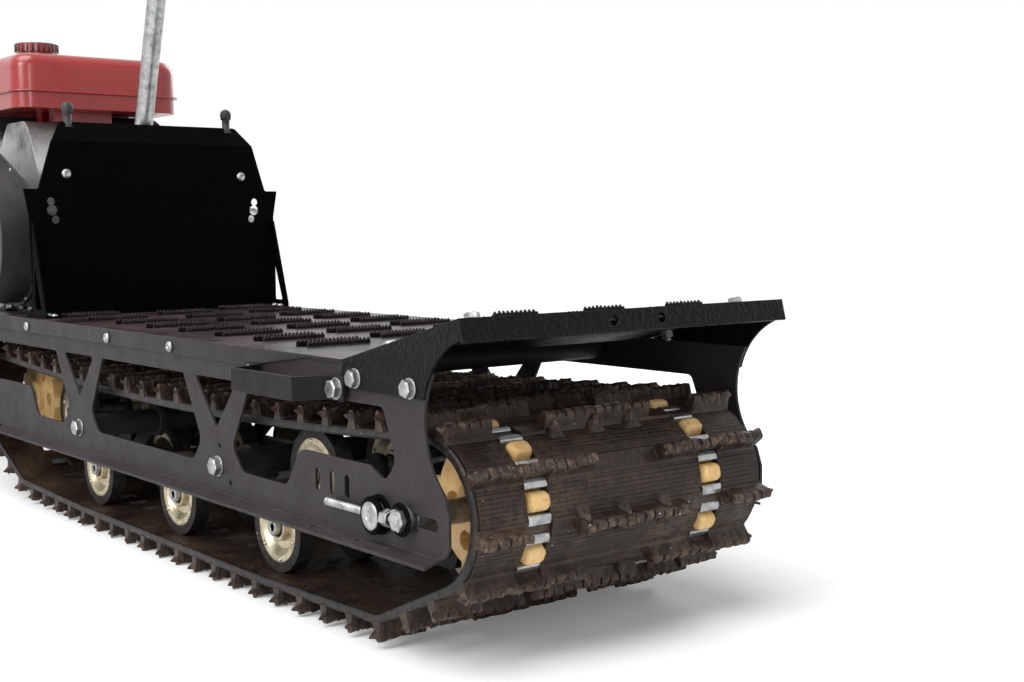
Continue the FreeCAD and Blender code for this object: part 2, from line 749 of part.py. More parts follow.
def panel_strut():
    """Gusset behind each edge of the upright, with a tall triangular gap."""
    y0 = front - panel_setback
    x0 = panel_half_width - plate_thickness
    blank = slab([(y0, deck_top), (y0, 282), (y0 - 6, 282), (y0 - 48, deck_top + 8, 4), (y0 - 48, deck_top)],
                 "yz", x0, x0 + plate_thickness)
    gap = slab([(y0 - 7, deck_top + 12, 2), (y0 - 7, 222, 2), (y0 - 33, deck_top + 12, 2)], "yz", x0,
               x0 + plate_thickness)
    foot = box(x0 - 22, x0, y0 - 48, y0 - 18, deck_top, deck_top + plate_thickness)
    return blank.cut(gap).fuse(foot)


def stadium(x0, x1, start, end, radius_start, radius_end):
    """Prism along X round two circles in the YZ plane and their outer tangents."""
    circles = [(start[0], start[1], radius_start), (end[0], end[1], radius_end)]
    face = Part.Face(loop_wire(loop_runs(circles), 0.0))
    face.translate(ACROSS * x0)
    return face.extrude(ACROSS * (x1 - x0))


jackshaft_at = (front + jackshaft_y, jackshaft_z)
crank_at = (front + crank_y, crank_z)


def chain_case():
    """Closed case outside the right side plate, from the jackshaft down to the track shaft."""
    x0 = cover_out + 0.3
    x1 = x0 + chain_case_width
    body = stadium(x0, x1 - 4, (front, 0), jackshaft_at, chain_case_radius, chain_case_radius - 8)
    lid = stadium(x1 - 4, x1, (front, 0), jackshaft_at, chain_case_radius + 5, chain_case_radius - 3)
    bosses = [disc_x(x1, x1 + 5, front, 0, 24), disc_x(x1, x1 + 5, *jackshaft_at, 20)]
    holes = [disc_x(x0, x0 + 30, front, 0, shaft_radius), disc_x(x0, x0 + 30, *jackshaft_at, shaft_radius)]
    return joined([body, lid] + bosses).cut(Part.makeCompound(holes))


def front_shaft():
    return disc_x(-plate_out - 20, cover_out + 30, front, 0, shaft_radius)


def front_bearing():
    """Four-bolt flange bearing outside the left side plate."""
    x1 = -plate_out - 0.2
    flange = slab([(front - 36, -36, 10), (front + 36, -36, 10), (front + 36, 36, 10), (front - 36, 36, 10)],
                  "yz", x1 - 9, x1)
    dome = disc_x(x1 - 19, x1 - 9, front, 0, 28)
    return flange.fuse(dome).cut(disc_x(x1 - 19, x1, front, 0, shaft_radius))


def jackshaft():
    return disc_x(-222, cover_out + 30, *jackshaft_at, shaft_radius)


def jackshaft_stand(x):
    """Pillow block on a folded post, bolted to the deck."""
    y, z = jackshaft_at
    post = slab([(y - 32, deck_top), (y + 28, deck_top), (y + 28, z - 10, 12), (y - 32, z - 10, 12)],
                "yz", x - 12, x + 12)
    ring = disc_x(x - 12, x + 12, y, z, 27)
    pad = box(x - 22, x + 22, y - 34, y + 30, deck_top, deck_top + 4)
    return joined([post, ring, pad]).cut(disc_x(x - 12, x + 12, y, z, shaft_radius))


def brake_disc():
    disc = disc_x(184, 188, *jackshaft_at, 78)
    hub = disc_x(176, 196, *jackshaft_at, 24)
    holes = []
    for k in range(12):
        a = k * pi / 6
        holes.append(disc_x(184, 188, jackshaft_at[0] + 62 * cos(a), jackshaft_at[1] + 62 * sin(a), 5))
    return disc.fuse(hub).cut(Part.makeCompound(holes + [disc_x(176, 196, *jackshaft_at, shaft_radius)]))


def brake_caliper():
    """Caliper over the rear of the disc, on an arm from the chain case."""
    y, z = jackshaft_at
    body = box(172, 200, y - 98, y - 44, z - 24, z + 24)
    slot = box(182, 190, y - 82, y - 44, z - 24, z + 24)
    arm = box(200, cover_out + 0.3, y - 90, y - 66, z - 60, z + 16)
    brace = slab([(y - 90, z - 60), (y - 40, z - 60), (y - 40, z - 36), (y - 66, z + 16), (y - 90, z + 16)], "yz",
                 cover_out - 4.7, cover_out + 0.3)
    return joined([body, arm, brace]).cut(slot)


def variator_guard():
    """Cover over the belt drive on the left of the engine."""
    body = stadium(-222, -166, jackshaft_at, crank_at, 98, 80)
    lip = stadium(-170, -166, jackshaft_at, crank_at, 104, 86)
    hollow = disc_x(-222, -166, *jackshaft_at, shaft_radius)
    crank = disc_x(-200, -166, *crank_at, shaft_radius)
    return body.fuse(lip).cut(Part.makeCompound([hollow, crank]))


def engine_cradle():
    """Folded tray that carries the engine above the steering link."""
    y0 = front + 2
    y1 = front + 275
    top = box(-150, 150, y0, y1, engine_base - 4, engine_base)
    side = box(146, 150, y0, y1, engine_base - 14, engine_base - 2)
    post = slab([(y0, deck_top), (y0 + 64, deck_top), (y0 + 64, engine_base - 14), (y0, engine_base - 14)], "yz",
                146, 150)
    pad = box(150, 176, y0, y0 + 64, deck_top, deck_top + 4)
    return joined([top] + both_sides(joined([side, post, pad])))


cylinder_run = V(0, cos(cylinder_lean), sin(cylinder_lean))
cylinder_up = V(0, -sin(cylinder_lean), cos(cylinder_lean))


def on_cylinder(shape, reach):
    """Turn a shape made with +Y along the cylinder and set it at a distance from the crankshaft."""
    shape.rotate(V(0, 0, 0), ACROSS, degrees(cylinder_lean))
    shape.translate(V(cylinder_x, *crank_at) + cylinder_run * reach)
    return shape


def engine_block():
    """Crankcase, finned cylinder leaning forward and its head."""
    y, z = crank_at
    base = engine_base
    case = slab([(y - 105, base), (y + 110, base), (y + 110, base + 60, 12), (y + 86, z + 40, 30),
                 (y + 20, z + 105, 20), (y - 70, z + 105, 30), (y - 118, z + 20, 40), (y - 105, base + 20)], "yz",
                -110, 66)
    fins = [on_cylinder(box(-75, 75, 0, 4, -56, 56), 84 + 10 * k) for k in range(9)]
    barrel = Part.makeCylinder(46, head_start - 70, V(cylinder_x, y, z) + cylinder_run * 70, cylinder_run)
    head = on_cylinder(box(-55, 55, 0, head_length, -head_half, head_half), head_start)
    crank = disc_x(-200, -110, y, z, shaft_radius)
    return joined([case, barrel, head, crank] + fins)


def head_port(x, radius):
    """Stub standing on the upper face of the cylinder head."""
    seat = V(x, *crank_at) + cylinder_run * (head_start + head_length / 2) + cylinder_up * (head_half + 0.3)
    return rod(seat, seat + cylinder_up * 18, radius)


def fan_housing():
    """Round blower cowl with the recoil starter's dome and its cooling slots."""
    y, z = crank_at
    cowl = disc_x(66.3, 130, y, z, 122)
    dome = disc_x(130, 152, y, z, 84)
    cut = box(66.3, 130, y - 130, y + 130, z - 130, engine_base + 0.4)
    slots = []
    for k in range(16):
        a = k * pi / 8
        slot = box(146, 152, 50, 78, -3, 3)
        slot.rotate(V(0, 0, 0), ACROSS, degrees(a))
        slot.translate(V(0, y, z))
        slots.append(slot)
    return cowl.fuse(dome).cut(Part.makeCompound([cut] + slots))


def fuel_tank():
    """Pressed steel tank on the engine, with its filler cap."""
    y, z = crank_at
    body = box(-140, 140, y - 120, y + 92, z + 123, z + 212)
    upright = [edge for edge in body.Edges if edge.BoundBox.ZLength > 50]
    body = body.makeFillet(34, upright)
    top = [edge for edge in body.Edges if edge.BoundBox.ZMin > z + 208]
    body = body.makeFillet(22, top)
    neck = Part.makeCylinder(28, 12, V(-70, y - 20, z + 210), UP)
    cap = Part.makeCylinder(34, 14, V(-70, y - 20, z + 222), UP)
    feet = [box(-60, 40, y + y0, y + y0 + 22, z + 105.3, z + 125) for y0 in (-62, -4)]
    return joined([body, neck, cap] + feet)


def air_filter():
    y, z = crank_at
    body = slab([(y + 98, z + 99, 14), (y + 182, z + 99, 20), (y + 182, z + 186, 26), (y + 98, z + 186, 26)],
                "yz", -140, -20)
    return body.fuse(head_port(-55, 16))


def muffler():
    y, z = crank_at
    body = slab([(y + 98, z + 99, 24), (y + 182, z + 99, 24), (y + 182, z + 182, 24), (y + 98, z + 182, 24)],
                "yz", -8, 140)
    outlet = rod(V(110, y + 178, z + 130), V(110, y + 198, z + 126), 14)
    return joined([body, outlet, head_port(12, 14)])


# ---- ski subframe and steering ------------------------------------------------------

beam = V(0, kingpin.y, kingpin.z)


def ski_subframe():
    """Side arms from the plates, the beam across them and the kingpin sleeves at its ends."""
    x0 = plate_out + 0.3
    x1 = x0 + 8
    y0 = front + 68
    arm = slab([(y0, -5, 10), (y0 + 60, -5, 20), (beam.y + 22, beam.z - 26, 20), (beam.y + 22, beam.z + 24, 18),
                (y0, beam.z + 14, 12)], "yz", x0, x1)
    arm = arm.cut(slab([(y0 + 75, 40, 10), (beam.y - 40, 88, 8), (y0 + 75, 92, 10)], "yz", x0, x1))
    bar = disc_x(-kingpin_x, kingpin_x, beam.y, beam.z, crossbeam_radius)
    pieces = both_sides(arm) + [bar]
    bores = []
    for pin in (kingpin, V(-kingpin.x, kingpin.y, kingpin.z)):
        low = pin - rake_axis * (sleeve_length / 2)
        high = pin + rake_axis * (sleeve_length / 2)
        pieces.append(rod(low, high, kingpin_radius + 7))
        bores.append(rod(low, high, kingpin_radius + 0.1))
    for x in (-60, 60):
        pieces.append(rod(V(x, front + 262, engine_base - 24), V(x, beam.y, beam.z), 10))
        pieces.append(box(x - 18, x + 18, front + 244, front + 275, engine_base - 34, engine_base - 4.3))
    return joined(pieces).cut(Part.makeCompound(bores))


def front_guard():
    """Tube hoop ahead of the engine, welded to the beam."""
    foot = beam + V(0, 12, 12)
    points = [V(-150, foot.y, foot.z), V(-150, foot.y + 50, 250), V(-150, foot.y + 30, 420),
              V(150, foot.y + 30, 420), V(150, foot.y + 50, 250), V(150, foot.y, foot.z)]
    hoop = bent_tube(points, 12.5, 45)
    rail = disc_x(-150, 150, foot.y + 48, 262, 9)
    return hoop.fuse(rail).cut(disc_x(-200, 200, beam.y, beam.z, crossbeam_radius + 0.2))


def headlamp():
    """Round lamp on a bracket under the guard's top tube."""
    y = beam.y + 42
    shell = Part.makeCylinder(52, 46, V(0, y + 6, 346), V(0, 1, 0))
    back = Part.makeCone(22, 52, 40, V(0, y - 34, 346), V(0, 1, 0))
    bracket = box(-14, 14, y - 3, y + 3, 395, 407.2)
    return joined([shell, back, bracket])


def column_bracket():
    """Foot bearing on the deck and the upper bush carried by the upright."""
    foot = column_foot - rake_axis * (arm_half + 1)
    low = rod(foot - rake_axis * 36, foot, column_radius + 3)
    low = low.common(box(-60, 60, foot.y - 60, foot.y + 60, deck_top + 1, deck_top + 60))
    pad = box(-38, 38, foot.y - 24, foot.y + 34, deck_top, deck_top + 5)
    bush = column_foot + rake_axis * 212
    ring = rod(bush - rake_axis * 16, bush + rake_axis * 16, 22)
    panel_face = front - panel_setback + plate_thickness
    arm = box(-17, 17, panel_face, bush.y, bush.z - 11, bush.z + 9)
    base = box(-40, 40, panel_face, panel_face + 5, bush.z - 32, bush.z + 16)
    lower = low.fuse(pad)
    upper = joined([ring, arm, base])
    bore = rod(column_foot - rake_axis * 60, column_foot + rake_axis * 300, column_radius + 0.1)
    return Part.makeCompound([lower.cut(bore), upper.cut(bore)])


def flat_arm(start, end, low, high):
    """Steering lever: rounded bar between two points, square to the rake axis."""
    reach = end - start
    side = rake_axis.cross(reach).normalize() * 13
    lift = rake_axis * (high - low)
    base = rake_axis * low
    ring = [start + side + base, start - side + base, end - side + base, end + side + base]
    bar = Part.Face(Part.makePolygon(ring + ring[:1])).extrude(lift)
    return [bar, rod(start + base, start + base + lift, 18), rod(end + base, end + base + lift, 13)]


def ball_pin(centre, up):
    """Pin standing on a lever with its nut, up (1) or down (-1) the rake axis."""
    start = centre
    top = centre + rake_axis * up * (arm_half + eye_height + 2 * pin_gap)
    return [rod(start, top, ball_pin_radius), rod(top, top + rake_axis * up * 6, 8.5)]


def link(start, end):
    """Rod between two eyes that turn on ball pins, flattened beside them to clear the levers."""
    pieces = [rod(start, end, link_radius)]
    bores = []
    for point in (start, end):
        low = point - rake_axis * (eye_height / 2)
        high = point + rake_axis * (eye_height / 2)
        pieces.append(rod(low, high, eye_radius))
        bores.append(rod(low, high, ball_pin_radius + pin_gap))
    trim = [rod(p - rake_axis * 30, p - rake_axis * (eye_height / 2), 22) for p in (start, end)]
    trim += [rod(p + rake_axis * (eye_height / 2), p + rake_axis * 30, 22) for p in (start, end)]
    return joined(pieces).cut(Part.makeCompound(bores + trim))


eye_lift = rake_axis * (arm_half + pin_gap + eye_height / 2)
lever_level = sleeve_length / 2 + 5.0
left_kingpin = V(-kingpin.x, kingpin.y, kingpin.z)
drag_start = column_foot + ACROSS * steering_arm
drag_end = left_kingpin + rake_axis * lever_level + ACROSS * steering_arm


def tie_end(pin):
    return pin - rake_axis * lever_level - rake_ahead * steering_arm


def steering_column():
    top = column_foot + rake_axis * ((bar_height - column_foot_z) / cos(rake) - 20)
    tube = rod(column_foot - rake_axis * 28, top, column_radius)
    collar = rod(top - rake_axis * 18, top + rake_axis * 4, column_radius + 9)
    arm = flat_arm(column_foot, drag_start, -arm_half, arm_half)
    return joined([tube, collar] + arm + ball_pin(drag_start, -1))


bar_centre = column_foot + rake_axis * ((bar_height - column_foot_z) / cos(rake))
bar_points = [V(-bar_half_width, bar_centre.y - 70, bar_centre.z + 42),
              V(-bar_half_width * 0.56, bar_centre.y - 22, bar_centre.z + 54),
              V(-66, bar_centre.y, bar_centre.z), V(66, bar_centre.y, bar_centre.z),
              V(bar_half_width * 0.56, bar_centre.y - 22, bar_centre.z + 54),
              V(bar_half_width, bar_centre.y - 70, bar_centre.z + 42)]


def handlebar():
    """Bent tube held in a clamp block on top of the column."""
    tube = bent_tube(bar_points, bar_radius, 60)
    block = Part.makeBox(52, 44, 31.8)
    block.translate(V(-26, -22, -15.9))
    block.rotate(V(0, 0, 0), ACROSS, degrees(rake))
    block.translate(bar_centre)
    return tube.fuse(block)


def grip(side):
    end = bar_points[-1] if side > 0 else bar_points[0]
    inner = bar_points[-2] if side > 0 else bar_points[1]
    run = (inner - end).normalize()
    sleeve = rod(end - run * 4, end + run * 122, 16.5)
    flange = rod(end + run * 118, end + run * 124, 21)
    return sleeve.fuse(flange).cut(rod(end, end + run * 130, bar_radius + clamp_gap))


def lever(side):
    """Hand lever hinged on a clamp inboard of the grip, its blade bowed ahead of the bar."""
    end = bar_points[-1] if side > 0 else bar_points[0]
    inner = bar_points[-2] if side > 0 else bar_points[1]
    run = (end - inner).normalize()
    seat = end - run * lever_setback
    ahead = (rake_ahead - run * rake_ahead.dot(run)).normalize()
    clamp_ends = V(-lever_clamp_half, 0, 0), V(lever_clamp_half, 0, 0)
    clamp = rod(*clamp_ends, bar_radius + 6)
    bracket = slab([(-lever_clamp_half, 8), (lever_clamp_half, 8), (lever_clamp_half, 38, 7),
                    (-lever_clamp_half, 38, 7)], "xy", -7, 7)
    blade = slab([(-8, 23, 6), (12, 23, 6), (36, 38, 25), (122, 36, 5.5), (122, 48, 5.5), (30, 50, 25),
                  (-8, 37, 6)], "xy", -4.5, 4.5)
    solid = joined([clamp, bracket, blade]).cut(rod(*clamp_ends, bar_radius + clamp_gap))
    solid.Placement = FreeCAD.Placement(seat, FreeCAD.Rotation(run, ahead, run.cross(ahead)))
    return solid


def spindle(pin, has_drag_lever):
    """Kingpin with its levers and the leg down to the ski pivot."""
    low = pin - rake_axis * (sleeve_length / 2 + 1 + 2 * arm_half)
    high = pin + rake_axis * (sleeve_length / 2 + 1 + 2 * arm_half)
    pivot = pin - rake_axis * leg_length
    pieces = [rod(low, high, kingpin_radius), rod(high, high + rake_axis * 8, 16)]
    lower = pin - rake_axis * lever_level
    pieces += flat_arm(lower, tie_end(pin), -arm_half, arm_half)
    pieces += ball_pin(tie_end(pin), -1)
    if has_drag_lever:
        upper = pin + rake_axis * lever_level
        pieces += flat_arm(upper, upper + ACROSS * steering_arm, -arm_half, arm_half)
        pieces += ball_pin(upper + ACROSS * steering_arm, 1)
    leg = Part.makeBox(34, 30, leg_length - lever_level)
    leg.translate(V(-17, -15, 0))
    leg.rotate(V(0, 0, 0), ACROSS, degrees(rake))
    leg.translate(pivot)
    pieces.append(leg)
    pieces.append(disc_x(pivot.x - 20, pivot.x + 20, pivot.y, pivot.z, 16))
    return joined(pieces).cut(disc_x(pivot.x - 20, pivot.x + 20, pivot.y, pivot.z, 8 + pin_gap))


def ski(pin_x):
    """Moulded ski with raised side ribs, a keel below and a tip curled up."""
    y = ski_pivot.y
    top = ground + keel_height + ski_thickness
    low = ground + keel_height
    heel = y - ski_back
    curl = y + ski_front * 0.5
    tip = y + ski_front
    profile = [V(0, heel, top), V(0, heel, low + 6), V(0, heel + 20, low), V(0, curl, low)]
    rise = ski_tip_rise
    under = Part.Arc(profile[3], V(0, curl + 0.62 * (tip - curl), low + 0.36 * rise), V(0, tip, low + rise)).toShape()
    over_end = V(0, tip - 4, low + rise + ski_thickness)
    over = Part.Arc(over_end, V(0, curl + 0.6 * (tip - curl) - 3, low + 0.36 * rise + ski_thickness),
                    V(0, curl, top)).toShape()
    edges = [Part.makeLine(a, b) for a, b in zip(profile, profile[1:])]
    edges += [under, Part.makeLine(V(0, tip, low + rise), over_end), over, Part.makeLine(V(0, curl, top), profile[0])]
    half = ski_width / 2
    sheet = Part.Face(Part.Wire(edges))
    sheet.translate(ACROSS * (pin_x - half))
    sheet = sheet.extrude(ACROSS * ski_width)
    plan = slab([(pin_x - half, heel - 1, 24), (pin_x + half, heel - 1, 24), (pin_x + half, tip - 150, 60),
                 (pin_x + 26, tip + 1, 24), (pin_x - 26, tip + 1, 24), (pin_x - half, tip - 150, 60)], "xy",
                ground - 10, ground + 300)
    body = sheet.common(plan)
    ribs = []
    for x in (pin_x - half + 8, pin_x + half - 18):
        ribs.append(slab([(heel + 40, top - 1), (curl + 40, top - 1), (curl, top + 10), (heel + 60, top + 10)], "yz",
                         x, x + 10))
    keel = slab([(heel + 70, low + 1), (heel + 90, ground), (curl - 20, ground), (curl + 10, low + 1)], "yz",
                pin_x - 7, pin_x + 7)
    return joined([body, keel] + ribs)


def ski_saddle(pin_x):
    """Pressed saddle bolted to the ski, with the two cheeks that hold the pivot bolt."""
    y, z = ski_pivot.y, ski_pivot.z
    top = ground + keel_height + ski_thickness
    base = box(pin_x - 40, pin_x + 40, y - 80, y + 80, top, top + 4)
    pieces = [base]
    for x in (-27, 21):
        cheek = slab([(y - 60, top + 3), (y + 60, top + 3), (y + 17, z + 18, 17), (y - 17, z + 18, 17)], "yz",
                     pin_x + x, pin_x + x + 6)
        pieces.append(cheek)
    pieces.append(disc_x(pin_x - 36, pin_x + 36, y, z, 8))
    pieces.append(hex_x(pin_x - 38, pin_x - 29, y, z, 24))
    pieces.append(hex_x(pin_x + 29, pin_x + 38, y, z, 24))
    return joined(pieces)


# ---- nodes --------------------------------------------------------------------------

def save(name, shape):
    """Write one node, moved from the rear axle to the row frame."""
    placed = shape.copy()
    placed.translate(to_row)
    placed.exportStep(os.path.join("parts", name + ".step"))


def build():
    os.makedirs("parts", exist_ok=True)
    places = roller_positions()
    plate = side_plate()
    loop = step_loop()
    arms = [suspension_arm(cross_tube_y, cross_tube_y + arm_lean),
            suspension_arm(front - cross_tube_y, front - cross_tube_y + front_arm_lean)]
    front_angle = front_tooth_angle()
    ends = (roller_axles_at[0], roller_axles_at[-1])
    axles = [roller_axle(y, z, (y, z) not in ends) for y, z in roller_axles_at + carriers_at]
    nodes = {
        "track": track(),
        "rear_sprockets": sprocket_pair(0, window_at),
        "front_sprockets": sprocket_pair(front, front_angle),
        "rear_shaft": rear_shaft(),
        "front_shaft": front_shaft(),
        "front_bearing": front_bearing(),
        "tensioners": Part.makeCompound(both_sides(tensioner())),
        "roller_hubs": Part.makeCompound([roller_hub(*place) for place in places]),
        "roller_tyres": Part.makeCompound([roller_tyre(*place) for place in places]),
        "roller_axles": Part.makeCompound(axles),
        "suspension_rails": Part.makeCompound(both_sides(suspension_rail())),
        "suspension_arms": Part.makeCompound([piece for arm in arms for piece in both_sides(arm)]),
        "cross_tubes": cross_tubes(),
        "side_plate_right": plate,
        "side_plate_left": mirrored(plate),
        "deck": deck(),
        "tail_bumper": tail(),
        "step_loop_right": loop,
        "step_loop_left": mirrored(loop),
        "upright_panel": upright_panel(),
        "panel_struts": Part.makeCompound(both_sides(panel_strut())),
        "chain_case": chain_case(),
        "jackshaft": jackshaft(),
        "jackshaft_stands": Part.makeCompound([jackshaft_stand(-138), jackshaft_stand(158)]),
        "brake_disc": brake_disc(),
        "brake_caliper": brake_caliper(),
        "variator_guard": variator_guard(),
        "engine_cradle": engine_cradle(),
        "engine_block": engine_block(),
        "fan_housing": fan_housing(),
        "fuel_tank": fuel_tank(),
        "air_filter": air_filter(),
        "muffler": muffler(),
        "ski_subframe": ski_subframe(),
        "front_guard": front_guard(),
        "headlamp": headlamp(),
        "column_bracket": column_bracket(),
        "steering_column": steering_column(),
        "handlebar": handlebar(),
        "grips": Part.makeCompound([grip(-1), grip(1)]),
        "levers": Part.makeCompound([lever(-1), lever(1)]),
        "drag_link": link(drag_start - eye_lift, drag_end + eye_lift),
        "tie_rod": link(tie_end(left_kingpin) - eye_lift, tie_end(kingpin) - eye_lift),
        "spindle_right": spindle(kingpin, False),
        "spindle_left": spindle(left_kingpin, True),
    }
    for name, side in (("right", 1), ("left", -1)):
        nodes["ski_" + name] = ski(side * kingpin_x)
        nodes["ski_saddle_" + name] = ski_saddle(side * kingpin_x)
    for name, shape in nodes.items():
        save(name, shape)


build()
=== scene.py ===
import json
import math
import random
from itertools import product

import bpy
import numpy as np
from mathutils import Matrix, Vector

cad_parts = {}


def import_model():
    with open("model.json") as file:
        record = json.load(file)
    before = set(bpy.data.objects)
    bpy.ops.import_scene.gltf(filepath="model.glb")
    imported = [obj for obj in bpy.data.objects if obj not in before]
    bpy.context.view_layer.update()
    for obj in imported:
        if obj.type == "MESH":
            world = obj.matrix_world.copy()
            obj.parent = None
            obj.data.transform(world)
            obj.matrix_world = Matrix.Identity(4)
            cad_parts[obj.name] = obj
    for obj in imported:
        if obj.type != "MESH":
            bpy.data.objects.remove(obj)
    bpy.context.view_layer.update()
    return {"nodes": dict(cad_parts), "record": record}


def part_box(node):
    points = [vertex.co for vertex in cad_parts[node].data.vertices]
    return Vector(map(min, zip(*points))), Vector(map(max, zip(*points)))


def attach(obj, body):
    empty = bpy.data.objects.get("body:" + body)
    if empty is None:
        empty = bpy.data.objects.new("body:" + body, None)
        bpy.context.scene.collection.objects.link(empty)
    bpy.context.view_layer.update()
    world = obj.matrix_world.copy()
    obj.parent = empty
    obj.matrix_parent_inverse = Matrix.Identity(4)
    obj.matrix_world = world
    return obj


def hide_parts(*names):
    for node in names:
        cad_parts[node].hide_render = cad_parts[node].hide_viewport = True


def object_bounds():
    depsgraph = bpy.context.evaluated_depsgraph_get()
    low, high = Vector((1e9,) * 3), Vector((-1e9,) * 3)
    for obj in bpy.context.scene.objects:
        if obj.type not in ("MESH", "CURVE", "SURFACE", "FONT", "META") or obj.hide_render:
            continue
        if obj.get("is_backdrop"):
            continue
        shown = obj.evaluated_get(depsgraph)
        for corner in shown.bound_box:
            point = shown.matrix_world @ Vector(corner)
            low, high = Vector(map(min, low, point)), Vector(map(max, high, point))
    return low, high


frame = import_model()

# Looks of the compact tracked snowmobile: finishes for the construction's nodes, a detailed belt in
# place of its plain one, and the fasteners and small fittings that stand on the nodes. Shapes are
# written in millimetres from the centre of the rear axle (X to the right, Y forward, Z up), as the
# construction is, and at() or Build.object() turns them into the frame's metres.

MM = 0.001
SEED = 380                     # of the wear, so that every run gives the same shapes


def middle(node):
    low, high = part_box(node)
    return (low + high) / 2


rear_axle = middle("rear_shaft")
front = (middle("front_shaft").y - rear_axle.y) / MM
left, right = Vector((-1.0, 0.0, 0.0)), Vector((1.0, 0.0, 0.0))
ahead, up = Vector((0.0, 1.0, 0.0)), Vector((0.0, 0.0, 1.0))


def at(x, y, z):
    """The frame's point for millimetres from the rear axle."""
    return rear_axle + Vector((x, y, z)) * MM


def extent(node):
    """Lowest and highest corner of a CAD node, in millimetres from the rear axle."""
    low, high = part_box(node)
    return (low - rear_axle) / MM, (high - rear_axle) / MM


def side_view(turn):
    """Unit vector square to X, turned up from straight ahead."""
    return Vector((0.0, math.cos(turn), math.sin(turn)))


def ring_of(count, centre, radius, first=0.0):
    """Points on a circle square to X round a centre; first is the first one's angle in degrees."""
    return [centre + side_view(math.radians(first) + 2 * math.pi * k / count) * radius for k in range(count)]


def linked(name, data):
    """Object with the data, linked to the scene."""
    made = bpy.data.objects.new(name, data)
    bpy.context.scene.collection.objects.link(made)
    return made


# ---- materials ----------------------------------------------------------------------

class Nodes:
    """Short names for the nodes of a shader tree."""

    def __init__(self, tree):
        self.tree = tree

    def node(self, kind, inputs=None, **settings):
        made = self.tree.nodes.new(kind)
        for key, value in settings.items():
            setattr(made, key, value)
        for key, value in (inputs or {}).items():
            self.put(made.inputs[key], value)
        return made

    def put(self, socket, value):
        if isinstance(value, bpy.types.NodeSocket):
            self.tree.links.new(value, socket)
        elif isinstance(value, tuple) and len(value) == 3 and socket.type == "RGBA":
            socket.default_value = (*value, 1.0)
        else:
            socket.default_value = value

    def ramp(self, value, low, high, start=0.0, end=1.0):
        inputs = {0: value, 1: low, 2: high, 3: start, 4: end}
        return self.node("ShaderNodeMapRange", inputs, clamp=True).outputs[0]

    def math(self, operation, a, b=0.0):
        return self.node("ShaderNodeMath", {0: a, 1: b}, operation=operation).outputs[0]

    def mix(self, share, a, b):
        return self.node("ShaderNodeMix", {0: share, 6: a, 7: b}, data_type="RGBA").outputs[2]


class Finish(Nodes):
    """Nodes of one material, placed by the object's own coordinates."""

    def __init__(self, name):
        self.material = bpy.data.materials.new(name)
        self.material.use_nodes = True
        super().__init__(self.material.node_tree)
        self.shader = self.tree.nodes["Principled BSDF"]
        self.place = self.node("ShaderNodeTexCoord").outputs["Object"]

    def stretched(self, x, y, z):
        return self.node("ShaderNodeMapping", {"Vector": self.place, "Scale": (x, y, z)}).outputs[0]

    def noise(self, scale, detail=3.0, rough=0.55, place=None):
        inputs = {"Vector": place or self.place, "Scale": scale, "Detail": detail, "Roughness": rough}
        return self.node("ShaderNodeTexNoise", inputs).outputs["Fac"]

    def cells(self, scale, feature="F1"):
        inputs = {"Vector": self.place, "Scale": scale}
        return self.node("ShaderNodeTexVoronoi", inputs, feature=feature).outputs["Distance"]

    def patched(self, colour, other, noise, edge):
        """The colour, turning into the other where a noise passes an edge."""
        return self.mix(self.ramp(self.noise(*noise), *edge), colour, other)

    def uneven(self, rough, less, more, *noise):
        """A roughness that wanders about its value."""
        return self.ramp(self.noise(*noise), 0.3, 0.7, rough - less, rough + more)

    def rounded(self, radius):
        return self.node("ShaderNodeBevel", {"Radius": radius}, samples=4).outputs[0]

    def facing(self):
        return self.node("ShaderNodeNewGeometry").outputs["Normal"]

    def edges(self, radius, low=0.02, high=0.25):
        """1 on sharp edges, fading over the radius."""
        inputs = {0: self.rounded(radius), 1: self.facing()}
        dot = self.node("ShaderNodeVectorMath", inputs, operation="DOT_PRODUCT").outputs["Value"]
        return self.ramp(self.math("SUBTRACT", 1.0, dot), low, high)

    def bump(self, height, distance, strength, radius):
        """Relief over edges that are softened by the radius."""
        relief = {"Height": height, "Distance": distance, "Strength": strength}
        return self.node("ShaderNodeBump", {**relief, "Normal": self.rounded(radius)}).outputs[0]

    def done(self, colour, roughness, normal=None, **values):
        self.put(self.shader.inputs["Base Color"], colour)
        self.put(self.shader.inputs["Roughness"], roughness)
        if normal is not None:
            self.put(self.shader.inputs["Normal"], normal)
        for key, value in values.items():
            self.put(self.shader.inputs[key.replace("_", " ")], value)
        return self.material


black = (0.0, 0.0, 0.0)


def between(colour, other, share):
    """Colour a share of the way to another."""
    return tuple((1.0 - share) * a + share * b for a, b in zip(colour, other))


